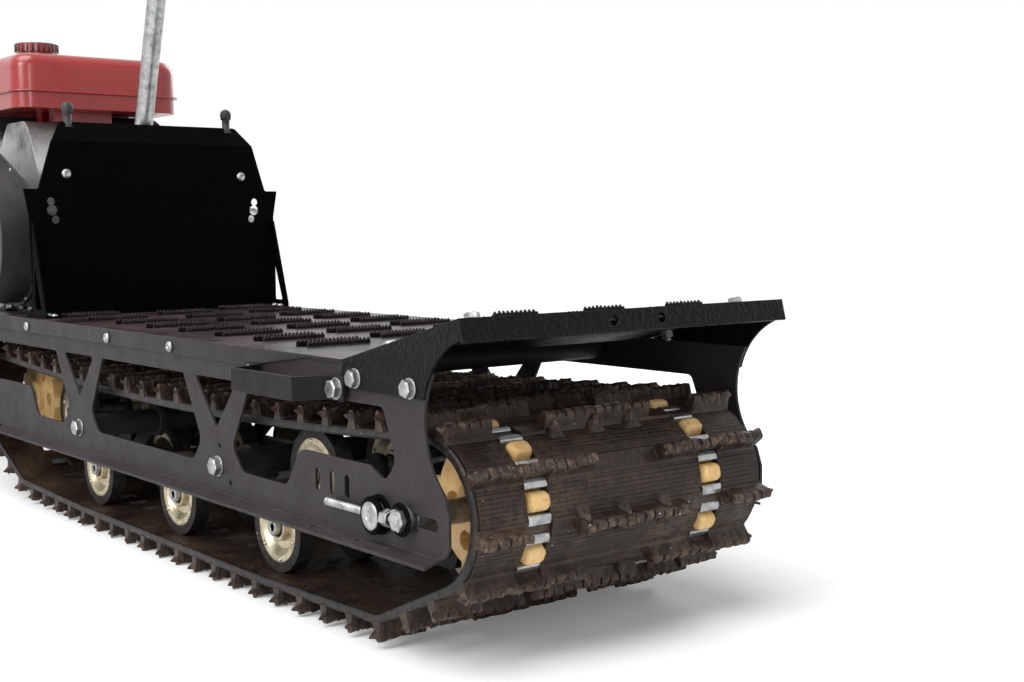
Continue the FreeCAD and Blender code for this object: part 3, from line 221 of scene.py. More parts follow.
def powder_coat(name, base, pale, rough, gloss, texture, chip=0.35, dust_and_sheen=0.12, wrinkle=0.0006,
                sideways_dust_and_sheen=0.5):
    """Textured stove enamel: fine grain, rubbed edges, and pale patches, fewer where it faces sideways: dust,
    and on the deck a painted highlight on the tops with painted shade left on the bare sides.
    """
    g = Finish(name)
    grain = g.noise(texture, 2.0, 0.5)
    dimples = g.cells(texture * 0.55, "SMOOTH_F1")
    upward = g.node("ShaderNodeSeparateXYZ", {0: g.facing()}).outputs["Z"]
    cloud = g.ramp(g.noise(7.0, 6.0, 0.62), 0.42, 0.72)
    # Pale patches kept mostly to upward faces: settled dust, and on the deck a painted highlight on its top
    # while its sideways faces stay darker as painted shade.
    patches = g.math("MULTIPLY", cloud, g.ramp(upward, 0.2, 0.95, sideways_dust_and_sheen, 1.0))
    colour = g.mix(patches, base, between(base, pale, dust_and_sheen))
    specks = g.ramp(g.noise(900.0, 1.0), 0.69, 0.74)
    colour = g.mix(g.math("MULTIPLY", specks, 0.5), colour, pale)
    worn = g.ramp(g.noise(60.0, 4.0, 0.7), 0.46, 0.62, 0.15, chip * 2)
    colour = g.mix(g.math("MULTIPLY", g.edges(0.0012), worn), colour, pale)
    roughness = g.uneven(rough, 0.07, 0.08, 35.0, 4.0)
    normal = g.bump(g.math("ADD", grain, dimples), wrinkle, 0.45, 0.0010)
    return g.done(colour, roughness, normal, Specular_IOR_Level=gloss)


def plated(name, base, dark, rough, scale=90.0):
    """Zinc or bare steel: slight mottling, fine scratches and dull patches."""
    g = Finish(name)
    colour = g.patched(base, dark, (scale, 5.0, 0.6), (0.35, 0.7))
    colour = g.patched(colour, between(dark, black, 0.65), (28.0, 5.0, 0.7), (0.60, 0.75, 0.0, 0.65))
    roughness = g.uneven(rough, 0.08, 0.14, scale * 2.0, 3.0)
    scratches = g.noise(260.0, 2.0, 0.5, g.stretched(1.0, 9.0, 3.0))
    normal = g.bump(scratches, 0.0002, 0.35, 0.0007)
    return g.done(colour, roughness, normal, Metallic=0.92)


def cast_metal(name, base, dark, rough):
    """Sand-cast aluminium with a grainy skin and oil stains in the hollows."""
    g = Finish(name)
    grain = g.noise(420.0, 4.0, 0.65)
    stain = g.ramp(g.noise(14.0, 6.0, 0.65), 0.48, 0.70)
    colour = g.mix(stain, base, dark)
    colour = g.mix(g.math("MULTIPLY", g.edges(0.0015), 0.45), colour, tuple(min(1.0, c * 1.35) for c in base))
    roughness = g.ramp(stain, 0.0, 1.0, rough, rough + 0.15)
    normal = g.bump(grain, 0.0006, 0.5, 0.0012)
    return g.done(colour, roughness, normal, Metallic=0.75)


def gloss_paint(name, base, shade, rough):
    """Sprayed enamel with faint orange peel, swirls and dust."""
    g = Finish(name)
    colour = g.patched(base, shade, (9.0, 4.0), (0.35, 0.7))
    colour = g.patched(colour, (0.35, 0.33, 0.30), (220.0, 4.0, 0.7), (0.62, 0.72, 0.0, 0.12))
    roughness = g.uneven(rough, 0.0, 0.1, 40.0, 5.0)
    normal = g.bump(g.noise(180.0, 2.0), 0.0003, 0.25, 0.0016)
    return g.done(colour, roughness, normal, Coat_Weight=0.4, Coat_Roughness=0.12)


def moulding(name, base, pale, rough, grain, gloss=0.4):
    """Grained moulded plastic, scuffed pale on its edges."""
    g = Finish(name)
    colour = g.patched(base, between(base, pale, 0.25), (12.0, 5.0), (0.4, 0.7))
    scuffs = g.ramp(g.noise(70.0, 6.0, 0.7, g.stretched(1.0, 0.25, 1.0)), 0.60, 0.72, 0.0, 0.5)
    colour = g.mix(g.math("MULTIPLY", g.math("ADD", g.edges(0.002), scuffs), 0.35), colour, pale)
    roughness = g.uneven(rough, 0.06, 0.1, 50.0, 4.0)
    normal = g.bump(g.cells(grain), 0.0004, 0.4, 0.0016)
    return g.done(colour, roughness, normal, Specular_IOR_Level=gloss)


def worn_rubber(name, base, dust, rough, gloss=0.35):
    """Rubber with dried mud on what stands proud, fine scuffs and pale specks."""
    g = Finish(name)
    colour = g.patched(base, between(base, dust, 0.38), (16.0, 6.0, 0.65), (0.38, 0.68))
    proud = g.node("ShaderNodeAttribute", attribute_name="proud").outputs["Fac"]
    mud = g.math("MULTIPLY", g.ramp(proud, 0.35, 0.95), g.ramp(g.noise(110.0, 6.0, 0.8), 0.46, 0.58))
    colour = g.mix(g.math("MULTIPLY", mud, 0.9), colour, dust)
    colour = g.patched(colour, between(base, black, 0.7), (150.0, 5.0, 0.75), (0.52, 0.42, 0.0, 0.75))
    specks = g.ramp(g.cells(75.0), 0.085, 0.06)
    colour = g.mix(g.math("MULTIPLY", specks, g.ramp(g.noise(20.0), 0.55, 0.6)), colour, (0.55, 0.52, 0.48))
    roughness = g.uneven(rough, 0.12, 0.12, 60.0, 5.0, 0.7)
    scuffs = g.math("ADD", g.noise(240.0, 5.0, 0.7), g.math("MULTIPLY", g.noise(60.0, 4.0), 1.5))
    normal = g.bump(scuffs, 0.0009, 0.5, 0.0012)
    return g.done(colour, roughness, normal, Specular_IOR_Level=gloss)


def machined_nylon(name, base, warm):
    """Cream cast nylon: cutter marks, warm stains and a little light passing through."""
    g = Finish(name)
    colour = g.patched(base, warm, (45.0, 5.0, 0.65), (0.40, 0.68))
    colour = g.patched(colour, (0.20, 0.11, 0.04), (110.0, 5.0, 0.7), (0.60, 0.70, 0.0, 0.55))
    marks = g.noise(300.0, 2.0, 0.5, g.stretched(0.25, 1.0, 1.0))
    normal = g.bump(marks, 0.0003, 0.4, 0.0022)
    return g.done(colour, 0.42, normal, Subsurface_Weight=0.15, Subsurface_Scale=0.006)


finish_recipes = {
    "frame_paint": (powder_coat, (0.0255, 0.0212, 0.0222), (0.15, 0.14, 0.14), 0.50, 0.18, 420.0),
    # The deck's rose pale colour, laid only on upward faces, is mostly a painted reflection on the deck's top
    # with some dust; the flanges stay darker as painted shade.
    "deck_paint": (powder_coat, (0.0075, 0.0055, 0.0058), (0.26, 0.165, 0.175), 0.32, 0.20, 380.0,
                   0.35, 0.32, 0.0006, 0.0),
    # A black coat whose base is pushed to near-black as painted shade of the rear-facing upright.
    "panel_paint": (powder_coat, (0.0012, 0.0012, 0.0014), (0.03, 0.03, 0.031), 0.50, 0.02, 300.0, 0.2, 0.03),
    # The tail's own tone of the coat, set to how light and shade fall on the tail: painted light and shade.
    "tail_paint": (powder_coat, (0.0026, 0.0025, 0.0028), (0.08, 0.08, 0.082), 0.40, 0.11, 330.0,
                   0.5, 0.03, 0.0030),
    # The step loops' copy of the frame's coat, made darker as painted shade.
    "step_paint": (powder_coat, (0.0100, 0.0082, 0.0086), (0.12, 0.11, 0.11), 0.46, 0.12, 420.0),
    "edge_rubber": (worn_rubber, (0.0125, 0.0112, 0.0108), (0.055, 0.048, 0.042), 0.42, 0.3),
    "track_rubber": (worn_rubber, (0.0195, 0.0110, 0.0078), (0.175, 0.118, 0.076), 0.42, 0.30),
    "roller_rubber": (worn_rubber, (0.022, 0.019, 0.017), (0.08, 0.07, 0.062), 0.62, 0.2),
    "polyamide": (machined_nylon, (0.84, 0.58, 0.26), (0.70, 0.42, 0.14)),
    "zinc": (plated, (0.52, 0.53, 0.52), (0.22, 0.23, 0.24), 0.32),
    "yellow_zinc": (plated, (0.64, 0.58, 0.43), (0.36, 0.31, 0.20), 0.38),
    "shaft_steel": (plated, (0.42, 0.41, 0.40), (0.22, 0.20, 0.19), 0.34),
    "cast_aluminium": (cast_metal, (0.52, 0.52, 0.52), (0.16, 0.15, 0.14), 0.46),
    "engine_black": (gloss_paint, (0.012, 0.012, 0.013), (0.03, 0.03, 0.03), 0.28),
    "engine_red": (gloss_paint, (0.36, 0.018, 0.014), (0.26, 0.012, 0.01), 0.24),
    "exhaust": (cast_metal, (0.16, 0.145, 0.135), (0.10, 0.065, 0.045), 0.62),
    "moulded_black": (moulding, (0.018, 0.018, 0.019), (0.14, 0.14, 0.14), 0.50, 700.0),
    "grip_rubber": (moulding, (0.014, 0.014, 0.014), (0.07, 0.07, 0.07), 0.66, 900.0, 0.25),
    "ski_plastic": (moulding, (0.016, 0.016, 0.018), (0.20, 0.20, 0.20), 0.44, 500.0),
    "lens": (gloss_paint, (0.52, 0.56, 0.58), (0.44, 0.47, 0.49), 0.10),
    "lamp": (moulding, (0.012, 0.012, 0.013), (0.10, 0.10, 0.10), 0.36, 800.0),
}
finishes = {name: recipe(name, *values) for name, (recipe, *values) in finish_recipes.items()}
# Nodes that share the record's slot with others but take a copy of a finish in their own tone: painted light
# and shade on the tail, painted shade on the step loops.
light_and_shade_copies = {"tail_bumper": "tail_paint", "step_loop_left": "step_paint", "step_loop_right": "step_paint"}
slot_of = {part["node"]: part["material_slot"] for part in frame["record"]["subparts"]}
for node_name, cad_object in frame["nodes"].items():
    for material_slot in cad_object.material_slots:
        material_slot.material = finishes[light_and_shade_copies.get(node_name, slot_of[node_name])]


# ---- mesh kit -----------------------------------------------------------------------

class Build:
    """Gathers closed shapes in millimetres and makes one object of them."""

    def __init__(self):
        self.points = []
        self.faces = []
        self.marks = []
        self.proud = []
        self.smooth = []
        self.count = 0

    def add(self, points, faces, mark=0, smooth=False, proud=0.0):
        points = np.asarray(points, float).reshape(-1, 3)
        self.points.append(points)
        self.proud.append(np.broadcast_to(np.asarray(proud, float), len(points)))
        self.faces += [tuple(i + self.count for i in face) for face in faces]
        self.marks += [mark] * len(faces)
        self.smooth += [smooth] * len(faces)
        self.count += len(points)

    def grid(self, points, around=False, along=False, mark=0, smooth=False, proud=0.0, holes=None):
        """Quads between rows of points; around closes each row, along joins the last row to the first."""
        points = np.asarray(points, float)
        rows, columns = points.shape[:2]
        faces = []
        for i in range(rows if along else rows - 1):
            for j in range(columns if around else columns - 1):
                if holes is not None and holes[i][j]:
                    continue
                i2, j2 = (i + 1) % rows, (j + 1) % columns
                faces.append((i * columns + j, i * columns + j2, i2 * columns + j2, i2 * columns + j))
        proud = np.broadcast_to(np.asarray(proud, float), (rows, columns)).reshape(-1)
        self.add(points.reshape(-1, 3), faces, mark, smooth, proud)

    def rings(self, rings, mark=0, smooth=False, proud=0.0):
        """Skin over closed rings of points, with flat ends."""
        rings = np.asarray(rings, float)
        base = self.count
        self.grid(rings, around=True, mark=mark, smooth=smooth, proud=proud)
        n = rings.shape[1]
        last = base + (len(rings) - 1) * n
        self.faces += [tuple(base + i for i in reversed(range(n))), tuple(last + i for i in range(n))]
        self.marks += [mark, mark]
        self.smooth += [False, False]

    def turned(self, start, direction, profile, sides=24, mark=0, smooth=True):
        """Turned shape: profile is (distance along, radius) pairs from one end to the other."""
        w = Vector(direction).normalized()
        u = w.orthogonal().normalized()
        v = w.cross(u)
        angles = np.linspace(0.0, 2 * math.pi, sides, endpoint=False)
        circle = np.outer(np.cos(angles), u) + np.outer(np.sin(angles), v)
        rings = [np.asarray(start) + np.asarray(w) * d + circle * r for d, r in profile]
        self.rings(rings, mark, smooth)

    def prism(self, start, direction, flat, outline, depth, chamfer=0.0, mark=0):
        """Plate with the outline (u, v), u along flat, pushed along direction, its edges chamfered."""
        w = Vector(direction).normalized()
        u = (Vector(flat) - w * Vector(flat).dot(w)).normalized()
        v = w.cross(u)
        outline = np.asarray(outline, float)
        centre = outline.mean(axis=0)
        reach = np.linalg.norm(outline - centre, axis=1).mean()
        small = centre + (outline - centre) * (1.0 - chamfer / reach)
        levels = [(0.0, small), (chamfer, outline), (depth - chamfer, outline), (depth, small)]
        if chamfer == 0.0:
            levels = [(0.0, outline), (depth, outline)]
        rings = [np.asarray(start) + np.asarray(w) * d + np.outer(o[:, 0], u) + np.outer(o[:, 1], v)
                 for d, o in levels]
        self.rings(rings, mark)

    def tube(self, path, radius, sides=12, mark=0):
        """Round bar along points."""
        path = [Vector(p) for p in path]
        runs = [(b - a).normalized() for a, b in zip(path, path[1:])]
        u = runs[0].orthogonal().normalized()
        rings = []
        for i, point in enumerate(path):
            run = (runs[max(i - 1, 0)] + runs[min(i, len(runs) - 1)]).normalized()
            u = (u - run * u.dot(run)).normalized()
            v = run.cross(u)
            rings.append([point + (u * math.cos(a) + v * math.sin(a)) * radius
                          for a in np.linspace(0.0, 2 * math.pi, sides, endpoint=False)])
        self.rings(rings, mark, True)

    def object(self, name, body, slots):
        """Finished piece: it rides on the body and takes one finish per mark."""
        mesh = bpy.data.meshes.new(name)
        points = np.concatenate(self.points) * MM + np.asarray(rear_axle)
        mesh.from_pydata(points.tolist(), [], self.faces)
        for slot in slots:
            mesh.materials.append(finishes[slot])
        mesh.polygons.foreach_set("material_index", self.marks)
        mesh.polygons.foreach_set("use_smooth", self.smooth)
        layer = mesh.attributes.new("proud", "FLOAT", "POINT")
        layer.data.foreach_set("value", np.concatenate(self.proud).astype(np.float32))
        mesh.update()
        piece = linked(name, mesh)
        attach(piece, body)
        return piece


# ---- the belt's path ----------------------------------------------------------------

belt_half = (extent("track")[1].x - extent("track")[0].x) / 2
belt_thickness = 8.0
link_pitch = 50.5
link_count = 56
sprocket_teeth_count = 9
lug_height = 20.0
window_x = 115.5
window_half_width = 14.0
window_half_length = 12.3
window_at = math.radians(168.5)
upper_sag = 20.0
roller_radius = 53.0
roller_axle_radius = 10.0
end_roller_z = -62.0
carrier_inset = 244.0
main_roller_inset = 330.0
main_roller_count = 3
pitch_radius = link_pitch * sprocket_teeth_count / (2 * math.pi)


def loop_circles():
    """Circles that the middle of the belt wraps; the upper run sags round the last, the other way."""
    low, high = extent("roller_axles")
    first, last = low.y + roller_axle_radius, high.y - roller_axle_radius
    mains = np.linspace(main_roller_inset, front - main_roller_inset, main_roller_count)
    rollers = [(first, end_roller_z), *((y, low.z + roller_axle_radius) for y in mains), (last, end_roller_z)]
    wrapped = [(y, z, roller_radius + belt_thickness / 2) for y, z in rollers]
    sag_radius = front ** 2 / (8 * upper_sag) - 2 * pitch_radius
    sag = (front / 2, pitch_radius - upper_sag + sag_radius, -sag_radius)
    return [(0.0, 0.0, pitch_radius), *wrapped, (front, 0.0, pitch_radius), sag]


def loop_runs(circles):
    """For each circle: where the belt meets it, the angle it wraps and the straight run after it."""
    leaving = []
    for (y, z, r), (y2, z2, r2) in zip(circles, circles[1:] + circles[:1]):
        gap = math.hypot(y2 - y, z2 - z)
        turn = math.atan2(z2 - z, y2 - y) - math.acos((r - r2) / gap)
        leaving.append((turn, math.sqrt(gap ** 2 - (r - r2) ** 2)))
    runs = []
    for i, circle in enumerate(circles):
        meets = leaving[i - 1][0]
        wrapped = (leaving[i][0] - meets) % (2 * math.pi)
        if circle[2] < 0:
            wrapped -= 2 * math.pi
        runs.append((circle, meets, wrapped, leaving[i][1]))
    return runs


belt_runs = loop_runs(loop_circles())
loop_length = sum(circle[2] * wrapped + run for circle, start, wrapped, run in belt_runs)


def on_belt(x, travel, height):
    """Points at a distance along the belt from the reference window and a height above its middle."""
    x, travel, height = np.broadcast_arrays(x, travel, height)
    s = (travel + pitch_radius * ((window_at - belt_runs[0][1]) % (2 * math.pi))) % loop_length
    y, z = np.zeros(s.shape), np.zeros(s.shape)
    passed = 0.0
    for (cy, cz, r), start, wrapped, run in belt_runs:
        arc = r * wrapped
        on_arc = (s >= passed) & (s < passed + arc)
        on_run = (s >= passed + arc) & (s < passed + arc + run)
        turn = start + (s - passed) / r
        y[on_arc] = (cy + (r + height) * np.cos(turn))[on_arc]
        z[on_arc] = (cz + (r + height) * np.sin(turn))[on_arc]
        end = start + wrapped
        beyond = s - passed - arc
        y[on_run] = (cy + (r + height) * math.cos(end) - beyond * math.sin(end))[on_run]
        z[on_run] = (cz + (r + height) * math.sin(end) + beyond * math.cos(end))[on_run]
        passed += arc + run
    return np.stack([x, y, z], axis=-1)


def belt_ring(x, travel, ring):
    """Ring of (travel, height) pairs laid on the belt at x."""
    steps, heights = np.transpose(ring)
    return on_belt(x, travel + steps, heights)


# ---- track --------------------------------------------------------------------------

rib_pitch = 4.1
rib_count = 8
rib_top = 4.6
groove = 4.0
bar_top = 4.2
belt_inside = -belt_thickness / 2
bead_in = 186.0
pad_rise = 0.9                 # of the ribbed pads over the strips that hold the windows
strip_half = 17.5              # half the width of such a strip


def belt_rows():
    """(travel, height) rows of one link's outer face: eight ribs round the window, then the bar."""
    rows = []
    for k in range(rib_count):
        low = (k - rib_count / 2) * rib_pitch
        rows += [(low, groove), (low + 0.45, rib_top), (low + rib_pitch - 0.45, rib_top)]
    rows.append((rib_count / 2 * rib_pitch - 0.2, rib_top + 0.5))
    rows += [(rib_count / 2 * rib_pitch + 0.6, bar_top), (link_pitch / 2, bar_top)]
    rows.append((link_pitch - rib_count / 2 * rib_pitch - 0.6, bar_top))
    return rows


def track_belt():
    """Ribbed belt with its windows and beaded edges."""
    rng = random.Random(SEED)
    rows = belt_rows()
    travels = np.array([k * link_pitch + s for k in range(link_count) for s, h in rows])
    heights = np.array([h + rng.uniform(-0.12, 0.12) for k in range(link_count) for s, h in rows])
    half = [(48.0, pad_rise), (window_x - strip_half, pad_rise), (window_x - strip_half + 1.2, 0.0),
            (window_x - window_half_width, 0.0), (window_x + window_half_width, 0.0),
            (window_x + strip_half - 1.2, 0.0), (window_x + strip_half, pad_rise), (bead_in, pad_rise)]
    across_belt = [(-x, rise) for x, rise in half[::-1]] + half
    xs, rises = np.transpose(across_belt)
    is_window = [abs(abs(a + c) / 2 - window_x) < 1.0 for a, c in zip(xs, xs[1:])]
    along = [s for k in range(link_count) for s, h in rows]
    in_window = [[is_window[j] and -window_half_length - 0.01 < s < window_half_length - 0.01
                  for j in range(len(xs) - 1)] for s in along]
    b = Build()
    sag = np.array([[rng.uniform(-0.15, 0.15) for x in xs] for s in along])
    outer = on_belt(xs[None, :], travels[:, None], heights[:, None] + rises[None, :] + sag)
    b.grid(outer, along=True, proud=0.15, holes=in_window)
    inner_rows = [-window_half_length, 0.0, window_half_length, link_pitch / 2]
    inner_travel = np.array([k * link_pitch + s for k in range(link_count) for s in inner_rows])
    holes = [[i % 4 in (0, 1) and is_window[j] for j in range(len(xs) - 1)] for i in range(len(inner_travel))]
    inner = on_belt(xs[None, ::-1], inner_travel[:, None], belt_inside)
    b.grid(inner, along=True, holes=holes)
    wall_rows = np.array([s for s, h in rows if abs(s) < window_half_length + 0.01])
    for k, side in product(range(link_count), (-1, 1)):
        window_walls(b, k * link_pitch, side * window_x, wall_rows)
    for side in (-1, 1):
        edge_bead(b, side, rng)
    return b.object("track_belt", "frame", ["track_rubber", "edge_rubber"])


def window_walls(b, travel, x, rows):
    """The four cut faces of one window."""
    for side in (-1, 1):
        xs = x + side * window_half_width
        wall = np.stack([on_belt(xs, travel + rows, rib_top), on_belt(xs, travel + rows, belt_inside)])
        b.grid(wall if side > 0 else wall[::-1])
        end = travel + side * window_half_length
        across_x = np.array([x - window_half_width, x + window_half_width])
        wall = np.stack([on_belt(across_x, end, rib_top), on_belt(across_x, end, belt_inside)])
        b.grid(wall[::-1] if side > 0 else wall)


def edge_bead(b, side, rng):
    """Rounded, slightly frayed edge of the belt."""
    profile = [(bead_in, 3.6), (bead_in + 0.8, 5.4), (bead_in + 2.2, 5.5),
               (belt_half - 0.6, 4.6), (belt_half, 2.0), (belt_half + 0.2, -1.5),
               (belt_half - 0.8, belt_inside), (bead_in, belt_inside)]
    steps = link_count * 12
    travels = np.linspace(0.0, loop_length, steps, endpoint=False)
    fray = np.array([rng.uniform(-0.35, 0.35) for s in travels])
    xs, heights = np.transpose(profile)
    frayed = side * (xs[None, :] + fray[:, None] * (xs > bead_in + 2)[None, :])
    points = on_belt(frayed, travels[:, None], heights[None, :] + fray[:, None] * 0.6)
    b.grid(points if side > 0 else points[:, ::-1], around=True, along=True, mark=1, smooth=True, proud=0.3)


lug_blocks = {
    0: [(-190.0, -135.0), (-70.0, 70.0), (135.0, 190.0)],
    1: [(-190.0, -45.0), (45.0, 190.0)],
}
block_pitch = 13.2
notch_width = 3.2
lug_top = belt_thickness / 2 + lug_height
lump_step = 3.6                # spacing of the lumps along a worn crest
lug_tip_reach = 9.0
lug_foot = 8.6                 # half the thickness at the belt
lug_foot_by_clip = 3.7
fillet_height = 9.0            # of the spread where a lug meets the belt
fillet_width = 2.6
clip_reach = 15.0              # half of the width over which a lug is thinned to clear the clips


def flank(height, foot_half, crest_half):
    """Half the thickness of a lug at a height above the middle of the belt."""
    spread = max(0.0, 1.0 - height / fillet_height)
    return crest_half + (foot_half - crest_half) * (1.0 - height / lug_top) + fillet_width * spread ** 2


def lug_profile(crest, lean, foot_half, crest_half):
    """Closed (travel, height) ring of a lug with a rounded top at the crest's height."""
    levels = (belt_thickness / 2 - 0.6, 6.0, 9.0, 14.0, crest - 2.6)
    half = [(flank(h, foot_half, crest_half), h) for h in levels]
    half += [(crest_half * 0.92, crest - 0.9), (crest_half * 0.5, crest)]
    ring = [(-w, h) for w, h in half] + [(w, h) for w, h in half[::-1]]
    return [(w + lean * (h / lug_top) ** 2, h) for w, h in ring]


def notched(x0, x1, depth, worn, rng):
    """(place, drop) corners of a crest cut into cells, each worn to its own height."""
    edges = np.linspace(x0, x1, max(2, round((x1 - x0) / block_pitch)) + 1)
    stops = [(x0, 0.3)]
    for a, c in zip(edges, edges[1:]):
        crest = rng.uniform(0.0, 1.2 + worn)
        low = crest + rng.uniform(0.5, 1.0) * depth
        slope = rng.uniform(-0.7, 0.7)
        wide = notch_width * rng.uniform(0.6, 1.2)
        if a > x0:
            stops += [(a - wide / 2 + 0.4, low), (a + wide / 2 - 0.4, low)]
        start = a + wide / 2 if a > x0 else a + 0.8
        stops += [(start, crest + slope), (c - wide / 2, crest - slope)]
    stops.append((x1, 0.8))
    return stops


def lug_block(b, travel, x0, x1, depth, worn, rng):
    """One standing block of a row: a ragged flap, notched to a depth, thin beside the clips."""
    stops = notched(x0, x1, depth, worn, rng)
    extra = [side * window_x + reach for side in (-1, 1) for reach in
             (-clip_reach - 1.5, -clip_reach, clip_reach, clip_reach + 1.5)]
    extra += list(np.arange(x0 + lump_step, x1, lump_step))
    places, drops = np.transpose(stops)
    xs = np.array(sorted(set(places) | {x for x in extra if x0 + 1.0 < x < x1 - 1.0}))
    wander = rng.uniform(-0.7, 0.7)
    phase = [rng.uniform(0.0, 6.28) for k in range(3)]
    rings, proud = [], []
    for x in xs:
        lump = math.sin(x * 0.83 + phase[0]) * math.sin(x * 0.31 + phase[1]) + rng.uniform(-0.5, 0.5)
        crest = lug_top - max(0.0, float(np.interp(x, places, drops)) + lump * (0.25 + 0.5 * worn))
        lean = wander + 1.1 * math.sin(x * 0.11 + phase[2]) + rng.uniform(-0.3, 0.3) * (1.0 + worn)
        foot = lug_foot_by_clip if abs(abs(x) - window_x) <= clip_reach else lug_foot
        end = min(x - x0, x1 - x)
        thick = 2.9 + 0.8 * worn + 0.55 * lump * (0.4 + worn)
        ring = lug_profile(crest, lean, foot if end > 1.0 else foot - 1.4, thick)
        rings.append(belt_ring(x, travel, ring))
        proud.append([max(0.0, (h - 12.0) / 12.0) for s, h in ring])
    b.rings(rings, proud=proud)


def low_bar(b, travel, half_width, rng):
    """Low stiffening bar under a row, open where the windows' clips lie."""
    top, step, end = 7.8, 12.0, belt_half - 3.0
    half = [(-half_width - 2.0, 3.4), (-half_width, 6.6), (-half_width + 1.6, top)]
    profile = half + [(-s, h) for s, h in half[::-1]]
    for x0, x1 in ((-end, -window_x - clip_reach), (-window_x + clip_reach, window_x - clip_reach),
                   (window_x + clip_reach, end)):
        rings = []
        for x in np.linspace(x0, x1, max(4, round((x1 - x0) / step))):
            wear = rng.uniform(-0.4, 0.3)
            rings.append(belt_ring(x, travel, [(s, h + wear * (h == top)) for s, h in profile]))
        b.rings(rings, proud=0.25)


def lug_tip(b, travel, side, rng):
    """Torn, pointed flap where a block's end overhangs the edge of the belt."""
    base = belt_half - 5.0
    reach = base + rng.uniform(0.9, 1.5) * lug_tip_reach
    sweep = rng.uniform(-3.0, 3.0)
    root = [(-4.6, 8.0), (-3.6, 20.5), (3.6, 21.0), (4.6, 8.0)]
    waist = [(sweep * 0.4 + s, h) for s, h in ((-2.9, 12.0), (-2.4, 20.0), (2.4, 20.4), (2.9, 12.0))]
    tip = [(sweep + s, h) for s, h in ((-0.7, 17.0), (-0.5, 18.6), (0.5, 18.8), (0.7, 17.2))]
    rings = []
    for x, ring in ((base, root), (base * 0.55 + reach * 0.45, waist), (reach, tip)):
        rings.append(belt_ring(side * x, travel, ring))
    b.rings(rings if side > 0 else [ring[::-1] for ring in rings], proud=0.8)


def gusset(b, travel, x, side, rng):
    """A-shaped buttress between a lug and the belt."""
    wide = rng.uniform(10.5, 13.0)
    foot = belt_thickness / 2 - 0.4
    # For each level, far and near side: half width, distance from the lug and height.
    levels = [((wide, 19.0, foot), (wide * 0.8, 6.0, foot)),
              ((wide * 0.42, 12.5, 9.5), (wide * 0.5, 5.0, 12.0)),
              ((1.6, 6.2, 17.5), (2.4, 3.0, 18.0))]
    rings = [np.stack([on_belt(x + way * half, travel + side * s, h)
                       for (half, s, h), ways in ((far, (-1, 1)), (near, (1, -1))) for way in ways])
             for far, near in levels]
    b.rings(rings if side < 0 else [ring[::-1] for ring in rings], proud=[[0.2] * 4, [0.5] * 4, [1.0] * 4])


def track_lugs():
    """Rows of three and of two blocks in turn, halfway between the windows."""
    rng = random.Random(SEED + 1)
    # (low bar's half width, depth of the notches, wear) of the rows of three and of two
    wear = ((8.0, 4.4, 0.2), (9.5, 2.6, 1.0))
    gusset_places = (-58.0, -8.0, 44.0)
    halves = [Build(), Build()]
    for k in range(link_count):
        b = halves[k * 2 // link_count]
        travel = (k + 0.5) * link_pitch
        bar_half, depth, worn = wear[k % 2]
        low_bar(b, travel, bar_half, rng)
        for x0, x1 in lug_blocks[k % 2]:
            lug_block(b, travel, x0, x1, depth, worn, rng)
        for side in (-1, 1):
            lug_tip(b, travel, side, rng)
        if k % 2 == 0:
            for x, side in product(gusset_places, (-1, 1)):
                gusset(b, travel, x + rng.uniform(-6.0, 6.0), side, rng)
    for k, b in enumerate(halves):
        b.object(f"track_lugs_{'rear' if k == 0 else 'front'}", "frame", ["track_rubber"])


clip_length = 9.6
clip_thickness = 1.2


def track_clips():
    """Steel clips folded over the bars between the windows, one at each end of each window."""
    b = Build()
    half = window_half_width - 0.4
    edge = window_half_length - 0.6
    outline = [(0.0, -3.6), (-0.5, 3.4), (0.1, 5.6), (1.6, 6.7), (clip_length * 0.55, 6.9),
               (clip_length * 0.9, 6.0), (clip_length, 4.6), (clip_length - 0.6, 3.9),
               (clip_length * 0.5, 5.2), (clip_thickness + 0.5, 5.0), (clip_thickness, -3.6)]
    steps, heights = np.transpose(outline)
    cross_section = ((-1.0, 0.995, 0.35), (-0.94, 1.0, 0.0), (0.94, 1.0, 0.0), (1.0, 0.995, 0.35))
    for k, x, side in product(range(link_count), (-window_x, window_x), (-1, 1)):
        reach = side * (edge + steps)
        rings = [on_belt(x + share * half, k * link_pitch + reach * shrink, heights - drop)
                 for share, shrink, drop in cross_section]
        b.rings(rings[::side])
    b.object("track_clips", "frame", ["zinc"])


# (radius, half width, half thickness) of a sprocket's tooth from its root to its tip
tooth_levels = ((62.0, 11.8, 10.8), (72.0, 11.7, 9.9), (78.4, 11.6, 8.9), (81.6, 10.9, 7.4), (83.4, 8.8, 5.0))
tooth_corner = 3.2


def rounded_rectangle(half_u, half_v, corner, steps=4):
    """Outline round a rectangle's centre, with so many steps to each corner."""
    points = []
    for (k, (su, sv)), i in product(enumerate(((1, 1), (-1, 1), (-1, -1), (1, -1))), range(steps + 1)):
        turn = math.radians(90.0 * k + 90.0 * i / steps)
        points.append((su * (half_u - corner) + corner * math.cos(turn),
                       sv * (half_v - corner) + corner * math.sin(turn)))
    return points


def sprocket_teeth(name, y, first_angle):
    """Rounded nylon faces of the teeth on one axle."""
    b = Build()
    for x, k in product((-window_x, window_x), range(sprocket_teeth_count)):
        turn = first_angle + 2 * math.pi * k / sprocket_teeth_count
        out, round_way = side_view(turn), side_view(turn + math.pi / 2)
        b.rings([[Vector((x + u, y, 0.0)) + out * r + round_way * v
                  for u, v in rounded_rectangle(half_x, half_t, min(tooth_corner, half_t - 0.5), 1)]
                 for r, half_x, half_t in tooth_levels])
    b.object(name, "frame", ["polyamide"])


